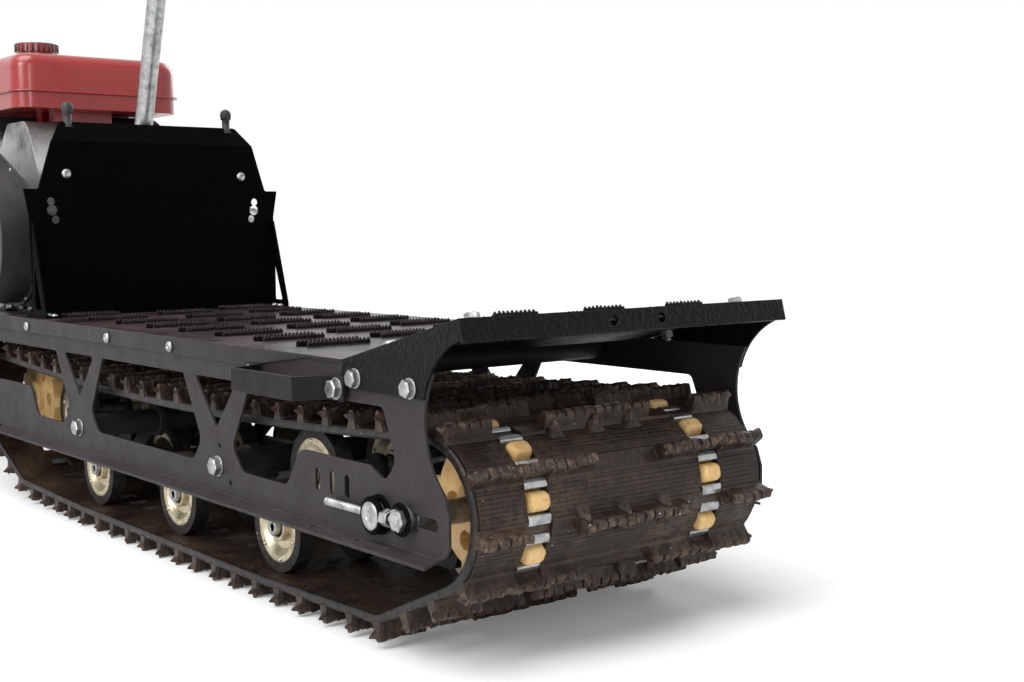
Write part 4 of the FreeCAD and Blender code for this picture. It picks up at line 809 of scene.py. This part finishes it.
belt_piece = track_belt()
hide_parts("track")
track_lugs()
track_clips()
link_points = [on_belt(0.0, k * link_pitch, 0.0) for k in range(link_count)]
front_point = next(p for p in link_points if abs(math.dist(p[1:], (front, 0.0)) - pitch_radius) < 0.01)
sprocket_teeth("teeth_rear", 0.0, window_at)
sprocket_teeth("teeth_front", front, math.atan2(front_point[2], front_point[1] - front))


# ---- fasteners ----------------------------------------------------------------------

def hexagon(across_flats):
    """Outline of a nut or a bolt's head."""
    corner = across_flats / math.sqrt(3.0)
    return [(corner * math.cos(k * math.pi / 3), corner * math.sin(k * math.pi / 3)) for k in range(6)]


def washer(b, point, direction, radius, thickness=1.6, hole=0.0, mark=0):
    """Flat washer with rolled edges; returns the point on its outer face."""
    bevel = 0.35
    profile = [(0.0, radius - bevel), (bevel, radius)]
    profile += [(thickness - along, reach) for along, reach in profile[::-1]]
    if hole:
        profile = [(0.0, hole)] + profile + [(thickness, hole)]
    b.turned(point, direction, profile, 28, mark, smooth=False)
    return Vector(point) + Vector(direction).normalized() * thickness


def hex_head(b, point, direction, across_flats, height, flat=(0.0, 0.0, 1.0)):
    """Hexagon with both its faces chamfered to a circle; returns the point on its outer face."""
    w = Vector(direction).normalized()
    flat = Vector(flat)
    if abs(w.dot(flat)) > 0.9:
        flat = Vector((0.0, 1.0, 0.0))
    b.prism(point, w, flat, hexagon(across_flats), height, across_flats * 0.055)
    crown = [(0.0, across_flats * 0.47), (0.35, across_flats * 0.43)]
    b.turned(Vector(point) + w * (height - 0.05), w, crown)
    return Vector(point) + w * height


def bolt(b, point, direction, size, flat=(0.0, 0.0, 1.0)):
    """Hexagon-headed bolt on its washer."""
    seat = washer(b, point, direction, size * 1.05)
    hex_head(b, seat, direction, size * 1.62, size * 0.66, flat)


def stud_nut(b, point, direction, size):
    """Nut on its washer with the thread standing out of it."""
    seat = washer(b, point, direction, size * 1.05)
    top = hex_head(b, seat, direction, size * 1.62, size * 0.8)
    thread(b, top, direction, size * 0.5, size * 0.45, 1.25)


def button(b, point, direction, radius, height, mark=0):
    """Low domed head with a hexagon recess."""
    shares = ((0.0, 0.97), (0.25, 1.0), (0.6, 0.88), (0.9, 0.62), (1.0, 0.42), (0.45, 0.36))
    b.turned(point, direction, [(height * rise, radius * wide) for rise, wide in shares], 20, mark)


def thread(b, start, direction, radius, length, pitch):
    """Rod with sharp rings standing in for its thread."""
    turns = max(2, int(length / pitch))
    profile = []
    for k in range(turns):
        profile += [(k * pitch, radius - 0.14 * pitch), (k * pitch + pitch * 0.5, radius + 0.30 * pitch)]
    profile.append((length, radius - 0.2 * pitch))
    b.turned(start, direction, profile, 14, smooth=False)


plate_out = extent("side_plate_right")[0].x + 3.0
cover_out = extent("deck")[1].x
deck_top = 142.0
step_out = cover_out + 4.3     # outer face of the step loops' ends
cross_tube_y = extent("suspension_arms")[0].y + 23.0
panel_y = extent("upright_panel")[0].y
tail_crest = Vector((0.0, -87.0, 191.0))
tail_slope = math.radians(14.3)
ramp_down, ramp_out = side_view(-tail_slope), side_view(math.pi / 2 - tail_slope)


def frame_bolts(b):
    """Bright bolts on the sides of the frame, the tail and the upright."""
    for side in (-1, 1):
        out = (side, 0.0, 0.0)
        for y, z in ((82.0, 125.0), (-11.0, 123.0)):
            bolt(b, (side * cover_out, y, z), out, 9.5, (0.0, 0.3, 1.0))
        for y, flat in ((110.0, (0.0, 0.8, 1.0)), (288.0, (0.0, 0.0, 1.0))):
            bolt(b, (side * step_out, y, 113.0), out, 10.5, flat)
        for y in (cross_tube_y, front - cross_tube_y):
            if side < 0 or y < front / 2:
                bolt(b, (side * plate_out, y, 0.0), out, 11.5, (0.0, 0.4, 1.0))
        for y in (front * 0.42, front * 0.58, front - 200.0):
            button(b, (side * cover_out, y, 130.0), out, 7.0, 4.2)
        for y in (panel_y - 44.0, panel_y - 26.0):
            button(b, (side * 186.0, y, deck_top + 3.0), up, 5.5, 3.6)
        button(b, (side * 144.0, panel_y, 354.0), -ahead, 7.5, 4.5)


def tail_bolts(b):
    """Bolts on the ramp close behind its crest, and the nuts under it."""
    size, ramp_thickness = 8.0, 3.0
    for x, along in ((-187.0, 15.0), (157.0, 15.0), (-187.0, 150.0), (187.0, 150.0)):
        point = tail_crest + right * x + ramp_down * along
        bolt(b, point, ramp_out, size)
        stud_nut(b, point - ramp_out * ramp_thickness, -ramp_out, size)


def tensioner_details(b):
    """Threads, lock nuts, washers and rubber ring of the two track adjusters."""
    screw_z, screw_out, screw_start = -2.0, 7.3, 58.0
    barrel_y, barrel_z, axle_out = 46.0, -3.0, 7.6
    # (distance from the plate, profile, sides, finish) of the rings round the barrel
    barrel_rings = (
        (0.1, [(0.0, 14.2), (0.0, 18.6), (0.8, 19.4), (2.6, 19.4), (3.4, 18.4), (3.4, 14.2)], 36, 1),
        (12.2, [(0.0, 13.7), (0.5, 14.0), (1.2, 13.4), (1.9, 11.0), (2.1, 4.4), (1.3, 4.0)], 30, 0),
        (7.4, [(0.0, 13.9), (0.0, 17.6), (1.0, 18.6), (3.6, 18.6), (4.6, 17.6), (4.6, 13.9)], 36, 1))
    screw_end = extent("tensioners")[1].y + 1.5
    for side in (-1, 1):
        out = right * side
        x = side * (plate_out + screw_out)
        thread(b, (x, screw_start, screw_z), ahead, 3.9, screw_end - screw_start, 1.25)
        for start, thick in ((16.6, 5.4), (22.6, 5.8)):
            hex_head(b, (x, start, screw_z), ahead, 15.0, thick, (0.2, 0.0, 1.0))
        for distance, profile, sides, mark in barrel_rings:
            b.turned((side * (plate_out + distance), barrel_y, barrel_z), out, profile, sides, mark)
        head = out * (plate_out + axle_out)
        washer(b, head, out, 16.2, 1.7, 5.9, mark=1)
        hex_head(b, head + out * 1.6, out, 19.4, 5.8, (0.0, 0.35, 1.0))
        thread(b, head + out * 7.2, out, 5.8, 1.8, 1.0)


def louver_teeth(b):
    """Serrated edges on the lips of the deck and ramp louvers."""
    lip, lip_half, lip_reach, tooth_pitch, tooth = 4.5, 1.05, 12.0, 5.0, 2.3
    first_row, row_pitch, last_row = 262.0, 98.0, panel_y - 22.0
    rng = random.Random(SEED + 2)
    rows = []
    for y in np.arange(first_row, last_row, row_pitch):
        spots = [(-127.0, y), (127.0, y)] + [(0.0, y + row_pitch / 2)] * (y + row_pitch / 2 < last_row)
        rows += [(Vector((x, along, deck_top)), 40.0, ahead, up) for x, along in spots]
    for from_crest, x in product((26.0, 124.0), (-138.0, -29.0, 80.0)):
        rows.append((tail_crest + right * x + ramp_down * from_crest, 26.0, ramp_down, ramp_out))
    for centre, half, along, out in rows:
        for side, k in product((-1, 1), range(int(2 * half / tooth_pitch))):
            start = -half + k * tooth_pitch + 0.35
            end = start + tooth_pitch - 0.9
            bend = side * rng.uniform(-0.5, 0.1)
            tall = tooth + rng.uniform(-0.5, 0.3)
            root = (start, end, -lip_half, lip_half, lip - 1.0)
            tip = (start + 1.3, end - 1.3, bend - 0.5, bend + 0.5, lip + tall)
            b.rings([[centre + right * x + along * (side * lip_reach + y) + out * z
                      for x, y in ((x0, y0), (x1, y0), (x1, y1), (x0, y1))]
                     for x0, x1, y0, y1, z in (root, tip)])


def roller_rivets(b):
    """Rivets, bearing collars and axle ends of the rollers."""
    inner_x, outer_x, half_width, axle_end, rivet_circle = 55.0, 155.0, 10.0, 171.0, 37.2
    collar = [(0.0, 16.8), (0.8, 17.0), (1.2, 15.8), (1.2, 12.6), (0.2, 12.2)]
    bored_end = [(0.0, 9.9), (0.6, 9.4), (0.6, 4.4), (-3.0, 3.6)]
    axles = [(cy, cz) for cy, cz, r in loop_circles()[1:-2]]
    carrier_z = extent("roller_axles")[1].z - roller_axle_radius
    ends = (axles[0], axles[-1])
    for y, z in axles + [(carrier_inset, carrier_z), (front - carrier_inset, carrier_z)]:
        outer = (y, z) not in ends
        for x, side in product((inner_x, outer_x) if outer else (inner_x,), (-1, 1)):
            face, out = side * (x + half_width), right * side
            for k in range(6):
                turn = math.radians(20.0 + 60.0 * k)
                rivet_y, rivet_z = y + rivet_circle * math.cos(turn), z + rivet_circle * math.sin(turn)
                button(b, (face - side * 0.3, rivet_y, rivet_z), out, 2.9, 2.0)
            b.turned((face - side * 0.2, y, z), out, collar, 28)
        if outer:
            for side in (-1, 1):
                b.turned((side * axle_end, y, z), right * side, bored_end, 24, mark=1)


# ---- engine, drive and steering -----------------------------------------------------

crank = Vector((-25.0, front + 132.0, 345.0))
jackshaft = Vector((0.0, front - 33.0, 255.0))
beam = Vector((0.0, front + 382.0, 105.0))
cylinder_lean = math.radians(15.0)
cylinder_run, cylinder_up = side_view(cylinder_lean), side_view(cylinder_lean + math.pi / 2)
rake = math.radians(18.0)
rake_ahead, rake_axis = side_view(rake), side_view(rake + math.pi / 2)
stand_foot = deck_top + 3.8    # upper face of the feet that stand on the deck


def level(point, x):
    """The point moved across to x."""
    return Vector((x, point.y, point.z))


def blower_details(b):
    """Starter's stepped hub, cowl screws and the pull handle at rest in its guide."""
    hub_face, flange_face, guide_x = 151.8, 129.8, 98.0
    screw_circle, guide_reach, guide_turn = 102.0, 121.0, math.radians(150.0)
    steps = [(0.0, 40.0), (1.6, 38.5), (1.6, 30.0), (3.4, 28.0), (3.4, 14.0), (2.2, 12.5), (2.2, 4.0)]
    b.turned(level(crank, hub_face), right, steps, 40)
    for point in ring_of(6, level(crank, flange_face), screw_circle, 30.0):
        button(b, point, right, 6.0, 4.0, mark=1)
    out = side_view(guide_turn)
    seat = level(crank, guide_x) + out * guide_reach
    b.turned(seat, out, [(0.0, 12.0), (3.0, 11.5), (7.0, 8.0), (11.0, 7.0)], 24)
    grip = [(0.0, 3.5), (1.5, 6.5), (9.0, 7.6), (18.0, 6.2), (30.0, 7.4)]
    grip += [(60.0 - along, radius) for along, radius in grip[-2::-1]]
    b.turned(seat + out * 15.0 + left * 30.0, right, grip, 20)


def engine_details(b):
    """Plug, head nuts, sump bolts and the dipstick's knob."""
    head_reach, sump_face = 201.8, crank.y + 109.8
    face = crank + cylinder_run * head_reach
    for x, rise in product((-42.0, 42.0), (-31.0, 31.0)):
        stud_nut(b, face + right * x + cylinder_up * rise, cylinder_run, 7.0)
    hexed = hex_head(b, face + left * 20.0, cylinder_run, 20.0, 9.0)
    cap = [(0.0, 7.2), (5.0, 7.0), (6.0, 9.0), (20.0, 8.4), (24.0, 6.0), (25.0, 3.0)]
    b.turned(hexed, cylinder_run, cap, 20, mark=1)
    for x in (-93.0, -20.0, 42.0):
        bolt(b, Vector((x, sump_face, 232.0)), ahead, 7.0)
    knob = [(0.0, 9.0), (4.0, 9.0), (4.5, 13.0), (14.0, 12.4), (16.0, 10.0)]
    b.turned((-62.0, sump_face, 256.0), ahead, knob, 18, mark=1)


def tank_details(b):
    """Rolled seam round the tank and ribs round its cap."""
    seam_centre = Vector((0.0, crank.y - 14.0, crank.z + 150.0))
    cap = Vector((-70.0, crank.y - 20.0, crank.z + 222.5))
    cap_ribs, rib_circle, rib_rise = 24, 33.8, 12.5
    seam = [(-0.6, -2.0), (5.5, -1.6), (6.2, 0.0), (5.5, 1.6), (-0.6, 2.0)]
    rows = []
    for u, v in rounded_rectangle(140.2, 106.2, 34.0, 6):
        out = Vector((u, v, 0.0)).normalized()
        rows.append([seam_centre + Vector((u, v, 0.0)) + out * o + up * h for o, h in seam])
    b.grid(rows, around=True, along=True, smooth=True)
    for k in range(cap_ribs):
        turn = 2 * math.pi * k / cap_ribs
        foot = cap + Vector((math.cos(turn), math.sin(turn), 0.0)) * rib_circle
        b.tube([foot, foot + up * rib_rise], 1.7, 6, mark=1)
    b.turned(cap + up * 13.4, up, [(0.0, 24.0), (1.6, 23.0), (1.6, 17.0), (0.6, 16.0)], 32, mark=1)


def muffler_details(b):
    """Heat guard with pressed ribs over the muffler, its screws and the outlet's collar."""
    middle_x, y, top = 66.0, crank.y + 140.0, crank.z + 181.8
    guard_ribs, guard_rib_pitch = 9, 11.5
    b.prism((middle_x, y, top + 2.4), up, right, rounded_rectangle(60.0, 24.0, 8.0), 1.6, 0.4)
    for k in range(guard_ribs):
        x = middle_x + guard_rib_pitch * (k - (guard_ribs - 1) / 2)
        b.tube([(x, y + along, top + rise)
                for along, rise in ((-15.0, 3.6), (-13.0, 4.4), (13.0, 4.4), (15.0, 3.6))], 2.6, 10)
    for x, along in product((-54.0, 54.0), (-19.0, 19.0)):
        foot = Vector((middle_x + x, y + along, top))
        b.turned(foot, up, [(0.0, 5.0), (2.5, 5.0)], 14)
        button(b, foot + up * 4.0, up, 4.6, 2.6, mark=1)
    outlet = Vector((110.0, crank.y + 179.0, crank.z + 129.8))
    run = Vector((0.0, 20.0, -4.0)).normalized()
    b.turned(outlet + run * 6.0, run, [(0.0, 14.1), (0.5, 16.6), (7.0, 16.6), (7.5, 14.1)], 24, mark=1)


def filter_details(b):
    """Over-centre clips, ridges and the wing nut of the air filter."""
    y, z = crank.y + 182.0, crank.z + 142.0
    ridge_pitch = 7.0
    seat = washer(b, Vector((-80.0, y - 0.2, z)), ahead, 12.0, 1.6, mark=1)
    b.turned(seat, ahead, [(0.0, 7.5), (5.0, 6.5), (8.0, 5.0)], 18, mark=1)
    wing = [(0.0, -3.0), (13.0, 0.0), (15.0, 6.0), (9.0, 7.0), (2.0, 5.0)]
    for side in (-1, 1):
        b.prism(seat + Vector((side * 3.0, 1.0, -1.0)), up, right * side, wing, 2.2, 0.3, mark=1)
    wire = ((0.8, 12.0), (2.4, 18.0), (-5.0, 36.0), (-22.0, 45.6), (-34.0, 46.0))
    for x in (-126.0, -34.0):
        clip = [Vector((x, y + along, z + rise)) for along, rise in wire]
        for offset in (-5.0, 5.0):
            b.tube([point + right * offset for point in clip], 1.2, 8, mark=1)
        b.tube([clip[0] + left * 6.0, clip[0] + right * 6.0], 1.6, 8, mark=1)
    for k in range(5):
        b.tube([(x, y - 34.0 - ridge_pitch * k, z + 44.2) for x in (-132.0, -28.0)], 1.3, 8)


def rim(b, face, centres, reaches, count, direction, radius):
    """Buttons round two circles' outer halves, as on a belt guard's flange."""
    (start, end), (r0, r1) = centres, reaches
    along = (end - start).normalized()
    across = Vector((0.0, -along.z, along.y))
    spots = [centre + (way * math.cos(turn) + across * math.sin(turn)) * reach
             for centre, reach, way in ((start, r0, -along), (end, r1, along))
             for turn in (math.pi * ((k + 0.5) / count - 0.5) for k in range(count))]
    spots += [start.lerp(end, share) + across * side * (r0 + (r1 - r0) * share)
              for side in (-1, 1) for share in (0.3, 0.7)]
    for spot in spots:
        button(b, level(spot, face), direction, radius, radius * 0.62)


def drive_details(b):
    """Ribs and screws of the belt guard, and the chain case's, bearings' and brake's bolts."""
    guard_flange, guard_face, spoke_count = -169.8, -221.8, 14
    case = cover_out + 0.3 + 40.0
    bearing = -(plate_out + 0.2 + 9.0)
    shaft = jackshaft
    shaft_low = Vector((0.0, front, 0.0))
    rim(b, guard_flange, (shaft, crank), (100.6, 82.6), 5, left, 3.2)
    for centre, reach in ((shaft, 74.0), (crank, 58.0)):
        hub = level(centre, guard_face)
        ridge = [(0.0, reach), (1.6, reach - 1.2), (1.6, reach - 7.0), (0.0, reach - 8.5)]
        b.turned(hub, left, ridge, 48, mark=1)
        root = hub + left * 0.6
        for inner, outer in zip(ring_of(spoke_count, root, 20.0), ring_of(spoke_count, root, reach - 12.0)):
            b.tube([inner, outer], 2.0, 8, mark=1)
        b.turned(hub, left, [(0.0, 17.0), (2.0, 16.0), (2.6, 9.0), (2.6, 4.0)], 28, mark=1)
    rim(b, case - 0.2, (shaft_low, shaft), (51.5, 43.5), 4, right, 4.4)
    stem = (shaft - shaft_low).normalized()
    rib = [(-64.0, -6.0), (64.0, -5.0), (64.0, 5.0), (-64.0, 6.0)]
    b.prism(level((shaft_low + shaft) / 2, case - 0.4), right, stem, rib, 3.0, 1.0, mark=2)
    hex_head(b, level(shaft_low + stem * 46.0, case + 1.8), right, 14.0, 5.0)
    for centre in (shaft_low, shaft):
        hex_head(b, level(centre, case + 4.9), right, 22.0, 5.0)
    for point in ring_of(4, level(shaft_low, bearing + 0.2), 36.8, 45.0):
        bolt(b, point, left, 8.0)
    for x in (-138.0, 158.0):
        for offset, y in product((-17.0, 17.0), (-20.0, 18.0)):
            bolt(b, Vector((x + offset, shaft.y + y, stand_foot)), up, 4.4)
        nipple = [(0.0, 3.6), (3.0, 3.4), (3.4, 2.0), (6.5, 2.4), (8.0, 1.2)]
        b.turned((x, shaft.y - 8.0, shaft.z + 25.6), (0.0, -0.3, 1.0), nipple, 14)
    for z in (-14.0, 14.0):
        hex_head(b, Vector((172.2, shaft.y - 88.0, shaft.z + z)), left, 9.0, 4.5)
    for side, y in product((-1, 1), (front + 18.0, front + 50.0)):
        bolt(b, Vector((side * 163.0, y, stand_foot)), up, 6.5)
        button(b, Vector((side * 28.0, y - 73.0, stand_foot + 1.0)), up, 5.0, 3.4)


def headlamp_details(b):
    """Chromed bezel, fluted lens and the screws of the lamp's bracket."""
    y, z = beam.y + 94.0, 346.0
    lens_radius, lens_dome, flute_waves, sides = 46.5, 6.5, 41.4, 56
    bezel = [(0.0, 52.2), (0.6, 54.4), (10.0, 54.6), (14.0, 52.6), (14.4, 47.0), (11.0, 46.0)]
    b.turned((0.0, y - 12.0, z), ahead, bezel, sides)
    fan = np.linspace(0.0, 2 * math.pi, sides, endpoint=False)
    rows = []
    for share in (1.0, 0.86, 0.7, 0.52, 0.34, 0.16, 0.02):
        flute = 0.5 * np.cos(np.cos(fan) * share * flute_waves) * (share < 0.95)
        dome = y - 1.0 + lens_dome * (1.0 - share ** 2) + flute
        radius = lens_radius * share
        rows.append(np.stack([radius * np.cos(fan), dome, z + radius * np.sin(fan)], axis=-1))
    b.rings(rows, mark=1, smooth=True)
    for x in (-9.0, 9.0):
        button(b, Vector((x, y - 49.2, z + 56.0)), ahead, 3.2, 2.2)


def weld(b, centre, axis, radius, size=2.6, seed=0):
    """Rippled fillet bead round a tube."""
    rng = random.Random(SEED + seed)
    w = Vector(axis).normalized()
    u = w.orthogonal().normalized()
    v = w.cross(u)
    steps = max(24, round(radius * 3.2))
    rows = []
    for k in range(steps):
        turn = 2 * math.pi * k / steps
        out = u * math.cos(turn) + v * math.sin(turn)
        thick = size * (0.82 + 0.3 * (k % 2) + rng.uniform(-0.1, 0.1))
        rows.append([Vector(centre) + out * (radius + thick * math.cos(a)) + w * thick * math.sin(a)
                     for a in np.linspace(0.0, 2 * math.pi, 8, endpoint=False)])
    b.grid(rows, around=True, along=True, smooth=True)


def front_welds(b):
    """Beads where the beam, the kingpin sleeves, the braces and the guard's feet meet."""
    beam_radius, guard_radius, brace_radius, cross_tube_radius = 21.0, 12.5, 10.0, 16.0
    for side in (-1, 1):
        for x in (plate_out + 0.3, plate_out + 8.3):
            weld(b, beam + right * side * x, right, beam_radius, seed=round(x))
        weld(b, beam + right * side * 274.0, right, beam_radius)
        weld(b, beam + Vector((side * 150.0, 14.0, 16.0)), (0.0, 0.45, 1.0), guard_radius, 2.2)
        weld(b, Vector((side * 60.0, beam.y - 110.0, 186.0)), ahead, brace_radius, 2.0)
        weld(b, Vector((side * 149.0, beam.y + 60.0, 262.0)), right, 9.0, 1.8)
        for y in (cross_tube_y, front - cross_tube_y):
            weld(b, Vector((side * (plate_out - 3.4), y, 0.0)), right, cross_tube_radius, 2.2)


def steering_details(b):
    """Clamp screws, ribbed grips with end plugs, and the hand levers' pivots and ball ends."""
    reach, column_foot, column_rise, grip_rib_pitch = 340.0, 182.0, 633.0, 7.8
    clamp = Vector((0.0, front - 67.0, column_foot)) + rake_axis * (column_rise / math.cos(rake))
    grip = [(0.0, 16.4)]
    for k in range(14):
        grip += [(6.0 + grip_rib_pitch * k + step, radius)
                 for step, radius in ((0.0, 16.5), (1.6, 17.7), (4.4, 17.7), (6.0, 16.5))]
    grip.append((118.0, 16.4))
    for x, y in product((-18.0, 18.0), (-14.0, 14.0)):
        button(b, clamp + right * x + rake_ahead * y + rake_axis * 15.7, rake_axis, 5.0, 4.5)
    for side in (-1, 1):
        end = clamp + Vector((side * reach, -70.0, 42.0))
        inner = clamp + Vector((side * reach * 0.56, -22.0, 54.0))
        run = (inner - end).normalized()
        b.turned(end - run * 2.0, run, grip, 28, mark=1)
        b.turned(end - run * 3.8, -run, [(0.0, 16.0), (2.0, 15.0), (3.6, 11.0), (4.2, 5.0)], 24, mark=1)
        forward = (rake_ahead - run * rake_ahead.dot(run)).normalized()
        over = (-run).cross(forward)
        seat = end + run * 134.0
        for way, (out, radius, height) in product((-1, 1), ((30.0, 4.6, 3.0), (13.0, 3.6, 2.6))):
            button(b, seat + forward * out + over * way * 6.9, over * way, radius, height)
        tip = seat - run * 122.0 + forward * 42.0
        ball = [(0.0, 4.0), (3.0, 6.8), (7.0, 7.8), (11.0, 6.8), (14.0, 3.0)]
        b.turned(tip + run * 6.0, -run, ball, 20, mark=2)


def ski_details(name):
    """Saddle bolts through the ski, and the threads of the pivot bolt."""
    saddle_thickness, pivot_drop, pivot_reach = 4.0, 18.0, 37.8
    b = Build()
    low, high = extent(f"ski_saddle_{name}")
    x, y = (low.x + high.x) / 2, (low.y + high.y) / 2
    for offset, along in product((-33.5, 33.5), (-66.0, 66.0)):
        bolt(b, Vector((x + offset, y + along, low.z + saddle_thickness)), up, 6.0)
    for way in (-1, 1):
        thread(b, (x + way * pivot_reach, y, high.z - pivot_drop), right * way, 5.0, 4.5, 1.25)
    b.object(f"ski_details_{name}", f"ski_{name}", ["zinc"])


def spindle_details(side, name):
    """Nut and rounded end over the kingpin's cap."""
    kingpin_x, cap_top = 300.0, 61.9
    b = Build()
    top = beam + right * side * kingpin_x + rake_axis * cap_top
    seat = hex_head(b, top, rake_axis, 24.0, 8.0, right)
    b.turned(seat, rake_axis, [(0.0, 7.0), (4.0, 6.8), (5.0, 5.0)], 20)
    b.object(f"spindle_details_{name}", f"spindle_{name}", ["zinc"])


def panel_knobs(b):
    """Rubber-topped stops standing on the corners of the dash."""
    stem = [(0.0, 9.0), (2.0, 9.0), (2.5, 6.0), (22.0, 6.0)]
    cap = [(0.0, 5.0), (2.0, 8.0), (10.0, 9.0), (15.0, 7.5), (18.0, 3.0)]
    for side in (-1, 1):
        foot = Vector((side * 131.0, panel_y + 22.0, 424.0))
        b.turned(foot, up, stem, 20, mark=1)
        b.turned(foot + up * 20.0, up, cap, 24, mark=1)


details = (
    (frame_bolts, "frame", ["zinc"]),
    (tail_bolts, "frame", ["zinc"]),
    (tensioner_details, "frame", ["zinc", "panel_paint"]),
    (louver_teeth, "frame", ["deck_paint"]),
    (roller_rivets, "frame", ["yellow_zinc", "zinc"]),
    (blower_details, "frame", ["moulded_black", "zinc"]),
    (engine_details, "frame", ["zinc", "moulded_black"]),
    (tank_details, "frame", ["engine_red", "moulded_black"]),
    (muffler_details, "frame", ["exhaust", "zinc"]),
    (filter_details, "frame", ["moulded_black", "zinc"]),
    (drive_details, "frame", ["zinc", "moulded_black", "cast_aluminium"]),
    (headlamp_details, "frame", ["zinc", "lens"]),
    (front_welds, "frame", ["frame_paint"]),
    (steering_details, "steering", ["zinc", "grip_rubber", "cast_aluminium"]),
    (panel_knobs, "frame", ["grip_rubber", "moulded_black"]),
)
for fill, body, slots in details:
    piece = Build()
    fill(piece)
    piece.object(fill.__name__, body, slots)
for side, name in ((-1, "left"), (1, "right")):
    ski_details(name)
    spindle_details(side, name)


# ---- floor, light and camera --------------------------------------------------------

def world():
    """White studio round the object: white to the camera, in mirrors and through glass, dimmer as light."""
    sight, lighting = 1.0, 0.24
    made = bpy.data.worlds.new("studio")
    made.use_nodes = True
    n = Nodes(made.node_tree)
    path = n.node("ShaderNodeLightPath").outputs
    seen = n.math("MAXIMUM", path["Is Camera Ray"], path["Is Glossy Ray"])
    seen = n.math("MAXIMUM", seen, path["Is Transmission Ray"])
    background = n.tree.nodes["Background"]
    n.put(background.inputs["Color"], (1.0, 1.0, 1.0))
    n.put(background.inputs["Strength"], n.ramp(seen, 0.0, 1.0, lighting, sight))
    bpy.context.scene.world = made


def floor():
    """Pale floor, a little brighter to the eye than to the light, so that only the shadow shows."""
    half, glow = 9.0, 0.14
    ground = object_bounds()[0].z
    corners = [(-half, -half, ground), (half, -half, ground), (half, half, ground), (-half, half, ground)]
    mesh = bpy.data.meshes.new("floor")
    mesh.from_pydata(corners, [], [(0, 1, 2, 3)])
    g = Finish("floor")
    g.done(g.mix(g.ramp(g.noise(3.0, 4.0), 0.3, 0.7), (0.90, 0.90, 0.90), (0.93, 0.93, 0.93)), 0.9,
           Specular_IOR_Level=0.1)
    path = g.node("ShaderNodeLightPath")
    g.put(g.shader.inputs["Emission Color"], (1.0, 1.0, 1.0))
    g.put(g.shader.inputs["Emission Strength"], g.math("MULTIPLY", path.outputs["Is Camera Ray"], glow))
    mesh.materials.append(g.material)
    linked("floor", mesh)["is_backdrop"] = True


def light(name, kind, direction, energy, **settings):
    """Lamp that shines along a direction."""
    data = bpy.data.lights.new(name, kind)
    data.energy = energy
    for key, value in settings.items():
        setattr(data, key, value)
    lamp = linked(name, data)
    lamp.rotation_euler = Vector(direction).to_track_quat("-Z", "Y").to_euler()
    return lamp


def softbox(name, place, target, width, height, watts):
    """Rectangular lamp at a place, turned to a target."""
    direction = Vector(target) - Vector(place)
    light(name, "AREA", direction, watts, shape="RECTANGLE", size=width, size_y=height).location = place


def camera():
    """Camera behind and to the left, level with the tail."""
    yaw, pitch, roll = 0.675943, 0.082355, -0.008470
    place = at(-929.36, -1053.69, 270.02)
    along = Vector((math.sin(yaw), math.cos(yaw), 0.0))
    across = Vector((math.cos(yaw), -math.sin(yaw), 0.0))
    view = along * math.cos(pitch) - up * math.sin(pitch)
    top = up * math.cos(pitch) + along * math.sin(pitch)
    side = across * math.cos(roll) + top * math.sin(roll)
    top = top * math.cos(roll) - across * math.sin(roll)
    data = bpy.data.cameras.new("camera")
    data.lens = 48.78
    data.sensor_width = 36.0
    made = linked("camera", data)
    made.matrix_world = Matrix.Translation(place) @ Matrix((side, top, -view)).transposed().to_4x4()
    bpy.context.scene.camera = made


world()
floor()
light("sky_sun", "SUN", (0.45, 0.08, -1.0), 2.6, angle=math.radians(50.0))
softbox("key", (-3.2, -0.9, 1.7), (0.0, -0.7, 0.25), 1.4, 1.4, 55.0)
softbox("strip", (-1.6, -3.2, 1.2), (0.0, -1.0, 0.2), 0.5, 1.6, 14.0)
softbox("rim", (2.8, 1.4, 2.0), (0.0, 0.0, 0.4), 1.6, 2.2, 35.0)
camera()
bpy.context.scene.view_settings.view_transform = "Standard"
